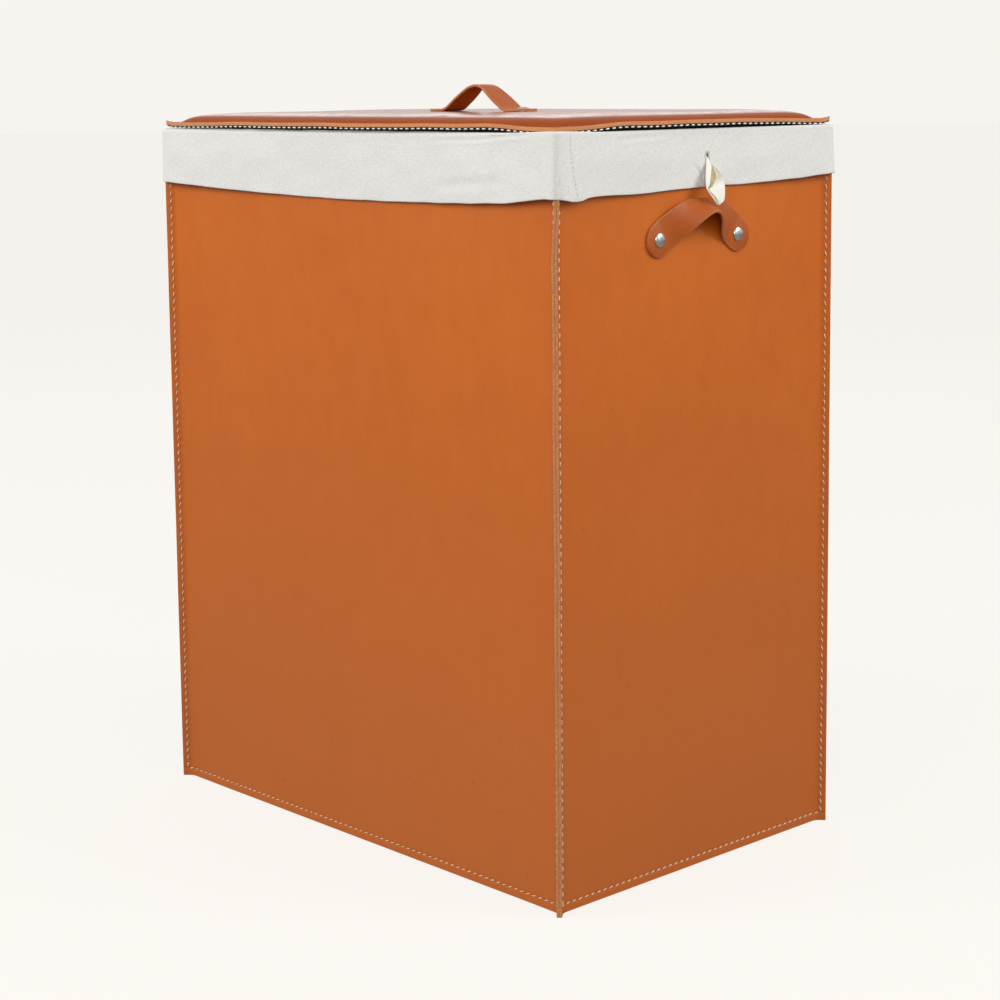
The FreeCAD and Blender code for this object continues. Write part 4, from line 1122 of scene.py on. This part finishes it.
def lid_pad():
    """Leather cover over the lid's foam, with its flat border."""
    columns, rows = lid_lines(LID_X), lid_lines(LID_Y)
    x, y = rounded_grid(LID_X, LID_Y, columns, rows, LID_CORNER)
    inset = inset_of(x, y, LID_X, LID_Y, LID_CORNER)
    low = np.where(inset > LID_BORDER + 2.3 * MM, BORDER_TOP + 0.05 * MM, LID_BASE + lid_raise(x, y))
    points = np.stack([xyz(x, y, lid_top(x, y)), xyz(x, y, low)])
    edge = np.concatenate([inset.ravel() < 0.5 * EDGE_SOFT, np.zeros(inset.size, bool)])
    side = len(border_of(*x.shape))
    faces = slab_faces(*x.shape)
    kinds = [int(edge[list(face)].all()) for face in faces[:-side]] + [1] * side
    made = piece("lid_pad", points, faces, [LID_HIDE, RAW_EDGE], "lid", "lid_leather", kinds)
    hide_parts("lid_leather", "lid_foam")
    held = np.concatenate([inset.ravel() < LID_BORDER + 0.5 * MM, np.ones(inset.size, bool)])
    inflate(made, np.flatnonzero(held), smooth_step(LID_BORDER, 30 * MM, inset))


def lid_underside():
    """Black lining under the lid, lifted with the border."""
    columns, rows = lid_lines(LID_X), lid_lines(LID_Y)
    x, y = rounded_grid(LID_X - 0.3 * MM, LID_Y - 0.3 * MM, columns, rows, LID_CORNER)
    high = LID_BASE + lid_raise(x, y)
    points = np.stack([xyz(x, y, high), xyz(x, y, high - (LID_BASE - LID_BOTTOM))])
    made = piece("lid_backing", points, slab_faces(*x.shape), [LINING], "lid", "lid_lining")
    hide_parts("lid_lining")


def lid_stitches():
    """The seam round the lid's border: on the leather, and on the lining's turned edge."""
    rows = []
    for inset, corner in ((LID_BORDER / 2, 3 * MM), (0.3 * MM, LID_CORNER)):
        across, deep = LID_X - inset, LID_Y - inset
        corners = [(across, -deep), (across, deep), (-across, deep), (-across, -deep)]
        line = divide(round_corners(corners, [corner] * 4), lambda gap: 3 * MM)
        if not rows:
            up = lid_top(line[:, 0], line[:, 1]) - 0.35 * MM
        else:
            up = LID_BOTTOM + 0.1 * MM + lid_raise(line[:, 0], line[:, 1])
        centres, ahead = spaced(xyz(line[:, 0], line[:, 1], up), LID_PITCH, closed=True)
        outward = xyz(ahead[:, 1], -ahead[:, 0], 0)
        rows.append((centres, ahead, outward if rows else (0.0, 0.0, 1.0), 0))
    stitches("lid_stitching", rows, LID_THREAD, "lid", "sewing_thread", *LID_STITCH)


# ---- straps ------------------------------------------------------------------------------

STRAP_ROUND = 0.7 * MM
HANDLE_LEVEL = (HANDLE_BACK[0].z + HANDLE_BACK[1].z) / 2
CAP_RADIUS = (HANDLE_BACK[1].z - HANDLE_BACK[0].z) / 2
RIVET_AT = HANDLE_BACK[1].y - CAP_RADIUS
TAB_RADIUS = 13.8 * MM
WAIST = 10 * MM
SIDE_SLOPE = math.radians(34)
SIDE_TILT = math.radians(61)
TAB_FLAT = CAP_RADIUS + 1 * MM
TAB_RUN = 14 * MM
CROWN = np.array([12.5, 0, 25.3]) * MM
CROWN_RUN = np.array([0, 14, 0]) * MM
GRIP_SLOPE = math.radians(33.5)
GRIP_ROOT = 16 * MM
GRIP_TAB = 14.5 * MM
GRIP_SHIFT = np.array([-1.5, -1.5, 0]) * MM


def strap(name, centres, across, halves, body, slot, node):
    """A strap with rounded cut edges along a line of centres, half as wide as halves."""
    ahead = unit(np.gradient(centres, axis=0))
    across = unit(across - ahead * np.sum(across * ahead, axis=1)[:, None])
    normal = np.cross(ahead, across)
    corner_round = np.minimum(STRAP_ROUND, 0.9 * halves)[:, None]
    points = []
    for quarter in range(4):
        sign = math.copysign(1, math.cos(math.radians(90 * quarter + 45)))
        rise = math.copysign(1, math.sin(math.radians(90 * quarter + 45)))
        for angle in np.radians(90 * quarter + np.array([0, 30, 60, 90])):
            wide = sign * (halves[:, None] - corner_round) + corner_round * math.cos(angle)
            high = rise * (LEATHER / 2 - STRAP_ROUND) + STRAP_ROUND * math.sin(angle)
            points.append(centres + across * wide + normal * high)
    points = np.stack(points, axis=1)
    rows, columns = points.shape[:2]
    faces = strip_faces(rows, columns)
    kinds = [int(face[0] % columns not in (3, 11)) for face in faces]
    faces += [tuple(range(columns))[::-1], tuple(range((rows - 1) * columns, rows * columns))]
    made = piece(name, points, faces, [STRAP_HIDE, STRAP_EDGE], body, slot, kinds + [1, 1])
    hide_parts(node)


def lid_strap():
    """The lid's handle: riveted flat at both ends and arched between."""
    low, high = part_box("lid_handle")
    span = high.x - GRIP_TAB
    foot = span - GRIP_ROOT * math.tan(GRIP_SLOPE / 2)
    peak = foot * math.tan(GRIP_SLOPE)
    crown = (peak - high.z + low.z + LEATHER + 1 * MM) / (1 / math.cos(GRIP_SLOPE) - 1)
    corners = [(-high.x, 0), (-foot, 0), (0, peak), (foot, 0), (high.x, 0)]
    line = round_corners(corners, [0, GRIP_ROOT, crown, GRIP_ROOT, 0], steps=9, closed=False)
    line = divide(line, lambda gap: 2.5 * MM if gap < high.x else 1.0)
    centres = xyz(line[:, 0], 0.0, line[:, 1] + low.z + LEATHER / 2)
    wear = waves(line[:, 0], 0, (0.3, 60, 15))
    from_end = high.x - np.abs(line[:, 0])
    halves = high.y * (0.72 + 0.28 * smooth_step(0, 26 * MM, np.abs(line[:, 0])))
    halves = halves + wear - 1.5 * MM * (1 - smooth_step(0, 2 * MM, from_end))
    across = np.broadcast_to((0.0, -1.0, 0.0), centres.shape)
    strap("lid_grip", centres + GRIP_SHIFT, across, halves, "lid", "strap_leather", "lid_handle")


def side_strap_half():
    """The right handle's strap from its round end to the crown: centres, across and halves."""
    slope = np.array([0, math.cos(SIDE_SLOPE), math.sin(SIDE_SLOPE)])
    flat_across = np.array([0, -math.sin(SIDE_SLOPE), math.cos(SIDE_SLOPE)])
    lean = np.array([-math.sin(SIDE_TILT), 0, math.cos(SIDE_TILT)])
    rivet = np.array([LEATHER / 2, -RIVET_AT, 0])
    angles = np.radians([4, 14, 25, 36, 47, 58, 69, 80])
    runs = np.concatenate([-TAB_RADIUS * np.cos(angles), np.linspace(0, TAB_FLAT, 6)[:-1]])
    halves = np.concatenate([TAB_RADIUS * np.sin(angles), np.full(5, TAB_RADIUS)])
    tab = rivet + slope * runs[:, None]
    start = rivet + slope * TAB_FLAT
    poles = [start, start + slope * (TAB_RUN - TAB_FLAT), CROWN - CROWN_RUN, CROWN]
    share = np.linspace(0, 1, 33)[:, None]
    weights = [(1 - share) ** 3, 3 * (1 - share) ** 2 * share, 3 * (1 - share) * share ** 2, share ** 3]
    arch = sum(weight * pole for weight, pole in zip(weights, poles))
    twist = smooth_step(0, 1, share ** 1.5)
    arch_across = flat_across * (1 - twist) + lean * twist
    narrow = TAB_RADIUS - (TAB_RADIUS - WAIST) * smooth_step(0, 1, share[:, 0])
    across = np.vstack([np.broadcast_to(flat_across, tab.shape), arch_across])
    return np.vstack([tab, arch]), across, np.concatenate([halves, narrow])


def side_straps():
    """The two carrying handles; the left one is the right one turned half round."""
    centres, across, halves = side_strap_half()
    flip = np.array([1, -1, 1])
    centres = np.vstack([centres, centres[-2::-1] * flip])
    across = np.vstack([across, across[-2::-1] * flip])
    halves = np.concatenate([halves, halves[-2::-1]])
    centres = centres + (HALF_X, 0, HANDLE_LEVEL)
    for side, turned in (("right", np.array([1, 1, 1])), ("left", np.array([-1, -1, 1]))):
        strap(f"{side}_strap", centres * turned, across * turned, halves, "hamper",
              "strap_leather", f"{side}_handle_strap")


# ---- studio ------------------------------------------------------------------------------

BACKDROP = (0.932, 0.907, 0.867)
SOFTBOXES = [
    ("left_softbox", (-1.5, -2.5, 1.9), (0, 0, 0.45), (1.6, 1.6), 54),
    ("right_softbox", (1.9, 1.1, 1.6), (0.1, 0, 0.55), (1.2, 1.2), 27),
    ("front_fill", (1.9, -2.0, 1.5), (0.1, -0.1, 0.5), (1.4, 1.4), 27),
    ("back_strip", (-2.2, 2.3, 1.30), (0, 0, 0.60), (3.2, 0.8), 7.5),
]
LENS = 78.47
CAMERA_AT = (1.4108, -1.3015, 0.6459)
CAMERA_TURNS = ((47.03, "Z"), (90 - 10.87, "X"), (-0.61, "Z"))


def soft_light(name, place, aim, size, power):
    """A rectangular softbox aimed at a point."""
    light = bpy.data.lights.new(name, "AREA")
    light.shape = "RECTANGLE"
    light.size, light.size_y = size
    light.energy = power
    lamp = bpy.data.objects.new(name, light)
    lamp.location = place
    lamp.rotation_euler = (Vector(aim) - Vector(place)).to_track_quat("-Z", "Y").to_euler()
    bpy.context.scene.collection.objects.link(lamp)


def studio_world():
    """An even glow that the camera sees as the plain backdrop."""
    world = bpy.data.worlds.new("studio")
    world.use_nodes = True
    tree = world.node_tree
    glow = tree.nodes["Background"]
    glow.inputs["Color"].default_value = (1.0, 0.985, 0.96, 1)
    glow.inputs["Strength"].default_value = 0.56
    seen = tree.nodes.new("ShaderNodeBackground")
    seen.inputs["Color"].default_value = (*BACKDROP, 1)
    path = tree.nodes.new("ShaderNodeLightPath")
    mix = tree.nodes.new("ShaderNodeMixShader")
    tree.links.new(path.outputs["Is Camera Ray"], mix.inputs[0])
    tree.links.new(glow.outputs[0], mix.inputs[1])
    tree.links.new(seen.outputs[0], mix.inputs[2])
    tree.links.new(mix.outputs[0], tree.nodes["World Output"].inputs["Surface"])
    bpy.context.scene.world = world


def studio_floor():
    """A floor that melts into the backdrop and still takes the hamper's shadow."""
    bpy.ops.mesh.primitive_circle_add(vertices=96, radius=30, fill_type="NGON")
    floor = bpy.context.object
    floor.name = "floor"
    paint = bpy.data.materials.new("floor")
    paint.use_nodes = True
    shader = paint.node_tree.nodes["Principled BSDF"]
    shader.inputs["Base Color"].default_value = (0.12, 0.117, 0.112, 1)
    shader.inputs["Roughness"].default_value = 1.0
    shader.inputs["Specular IOR Level"].default_value = 0.0
    shader.inputs["Emission Color"].default_value = (*BACKDROP, 1)
    seen = paint.node_tree.nodes.new("ShaderNodeLightPath").outputs["Is Camera Ray"]
    strength = paint.node_tree.nodes.new("ShaderNodeMapRange")
    strength.inputs["To Min"].default_value = 0.12
    strength.inputs["To Max"].default_value = 0.90
    paint.node_tree.links.new(seen, strength.inputs["Value"])
    paint.node_tree.links.new(strength.outputs["Result"], shader.inputs["Emission Strength"])
    floor.data.materials.append(paint)


def studio():
    """A pale room with soft light from the left, the right, the front and behind."""
    bpy.context.scene.view_settings.view_transform = "Standard"
    studio_world()
    studio_floor()
    for name, place, aim, size, power in SOFTBOXES:
        soft_light(name, place, aim, size, power)


def camera():
    """The photograph's view: from the front right, a little above the rim."""
    lens = bpy.data.cameras.new("camera")
    lens.lens = LENS
    lens.sensor_width = 36
    view = bpy.data.objects.new("camera", lens)
    pose = Matrix.Translation(CAMERA_AT)
    for degrees, axis in CAMERA_TURNS:
        pose = pose @ Matrix.Rotation(math.radians(degrees), 4, axis)
    view.matrix_world = pose
    bpy.context.scene.collection.objects.link(view)
    bpy.context.scene.camera = view


def dress_frame():
    """Materials for the frame's own pieces that stay: the base, the lid's board and rivets."""
    looks = {"leather": WALL_HIDE, "board": BOARD, "lining": LINING, "rivets": STEEL,
             "washers": STEEL}
    for name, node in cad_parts.items():
        look = looks.get(name.split("_")[-1])
        for place in node.material_slots if look else ():
            place.material = look


def panel(side, layer, look, slot):
    """One stiffener board or lining, drawn in with the wall that holds it."""
    low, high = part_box(f"{side}_{layer}")
    turned = side in ("left", "right")
    across = np.linspace(low.y, high.y, 41) if turned else np.linspace(low.x, high.x, 61)
    along, up = np.meshgrid(across, np.linspace(low.z, high.z, 76), indexing="ij")
    wave = waves(along, up, (0.12, 90, 20 + TURN[side]))
    if turned:
        layers = [xyz(depth + wave, along, up) for depth in (high.x, low.x)]
    else:
        layers = [xyz(along, depth + wave, up) for depth in (low.y, high.y)]
    made = piece(f"{side}_{layer}_panel", np.stack(layers), slab_faces(*along.shape), [look],
                 "hamper", slot)
    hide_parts(f"{side}_{layer}")


def panels():
    """The boards and linings of all four walls."""
    for side in TURN:
        panel(side, "board", BOARD, "stiffener_board")
        panel(side, "lining", LINING, "dark_lining")


def lathe(profile, centre, facing, steps=28):
    """Points and quads of a solid turned from (radius, out) points, facing along x."""
    angles = np.arange(steps) * math.tau / steps
    radius, out = profile[:, :1], profile[:, 1:]
    points = xyz(facing * out, facing * radius * np.cos(angles), radius * np.sin(angles))
    return (points + centre).reshape(-1, 3), strip_faces(len(profile), steps)


# Profiles of (radius, height): the cap's radii are shares of its own.
CAP = np.array([(0.45, 0), (0.97, 0), (1, 0.35), (0.985, 0.7), (0.92, 1.05), (0.75, 1.5),
                (0.5, 1.78), (0.25, 1.9), (0.02, 1.93)]) * (CAP_RADIUS, MM)
WASHER = np.array([(1.5, 0), (4.9, 0), (5, 0.3), (4.8, 0.6), (2.2, 0.7), (1.9, 1.1),
                   (0.1, 1.2)]) * MM


def handle_rivets():
    """Domed caps outside and flat washers inside, two of each for each handle."""
    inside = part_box("right_lining")[0].x
    for side, sign in (("right", 1), ("left", -1)):
        for kind, profile, at, facing in (("rivets", CAP, HALF_X + LEATHER, sign),
                                          ("washers", WASHER, inside, -sign)):
            points, faces = [], []
            for across in (-RIVET_AT, RIVET_AT):
                more, links = lathe(profile, (sign * at, across, HANDLE_LEVEL), facing)
                start = sum(len(part) for part in points)
                faces += [tuple(start + corner for corner in face) for face in links]
                points.append(more)
            made = piece(f"{side}_{kind}", np.concatenate(points), faces, [STEEL], "hamper",
                         "rivet_steel")
            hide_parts(f"{side}_handle_{kind}")


dress_frame()
hamper_walls()
panels()
side_straps()
handle_rivets()
cuff()
tape_ring()
cuff_stitches()
bag_sides()
bag_floor()
tape_end()
lid_pad()
lid_underside()
lid_stitches()
lid_strap()
camera()
studio()
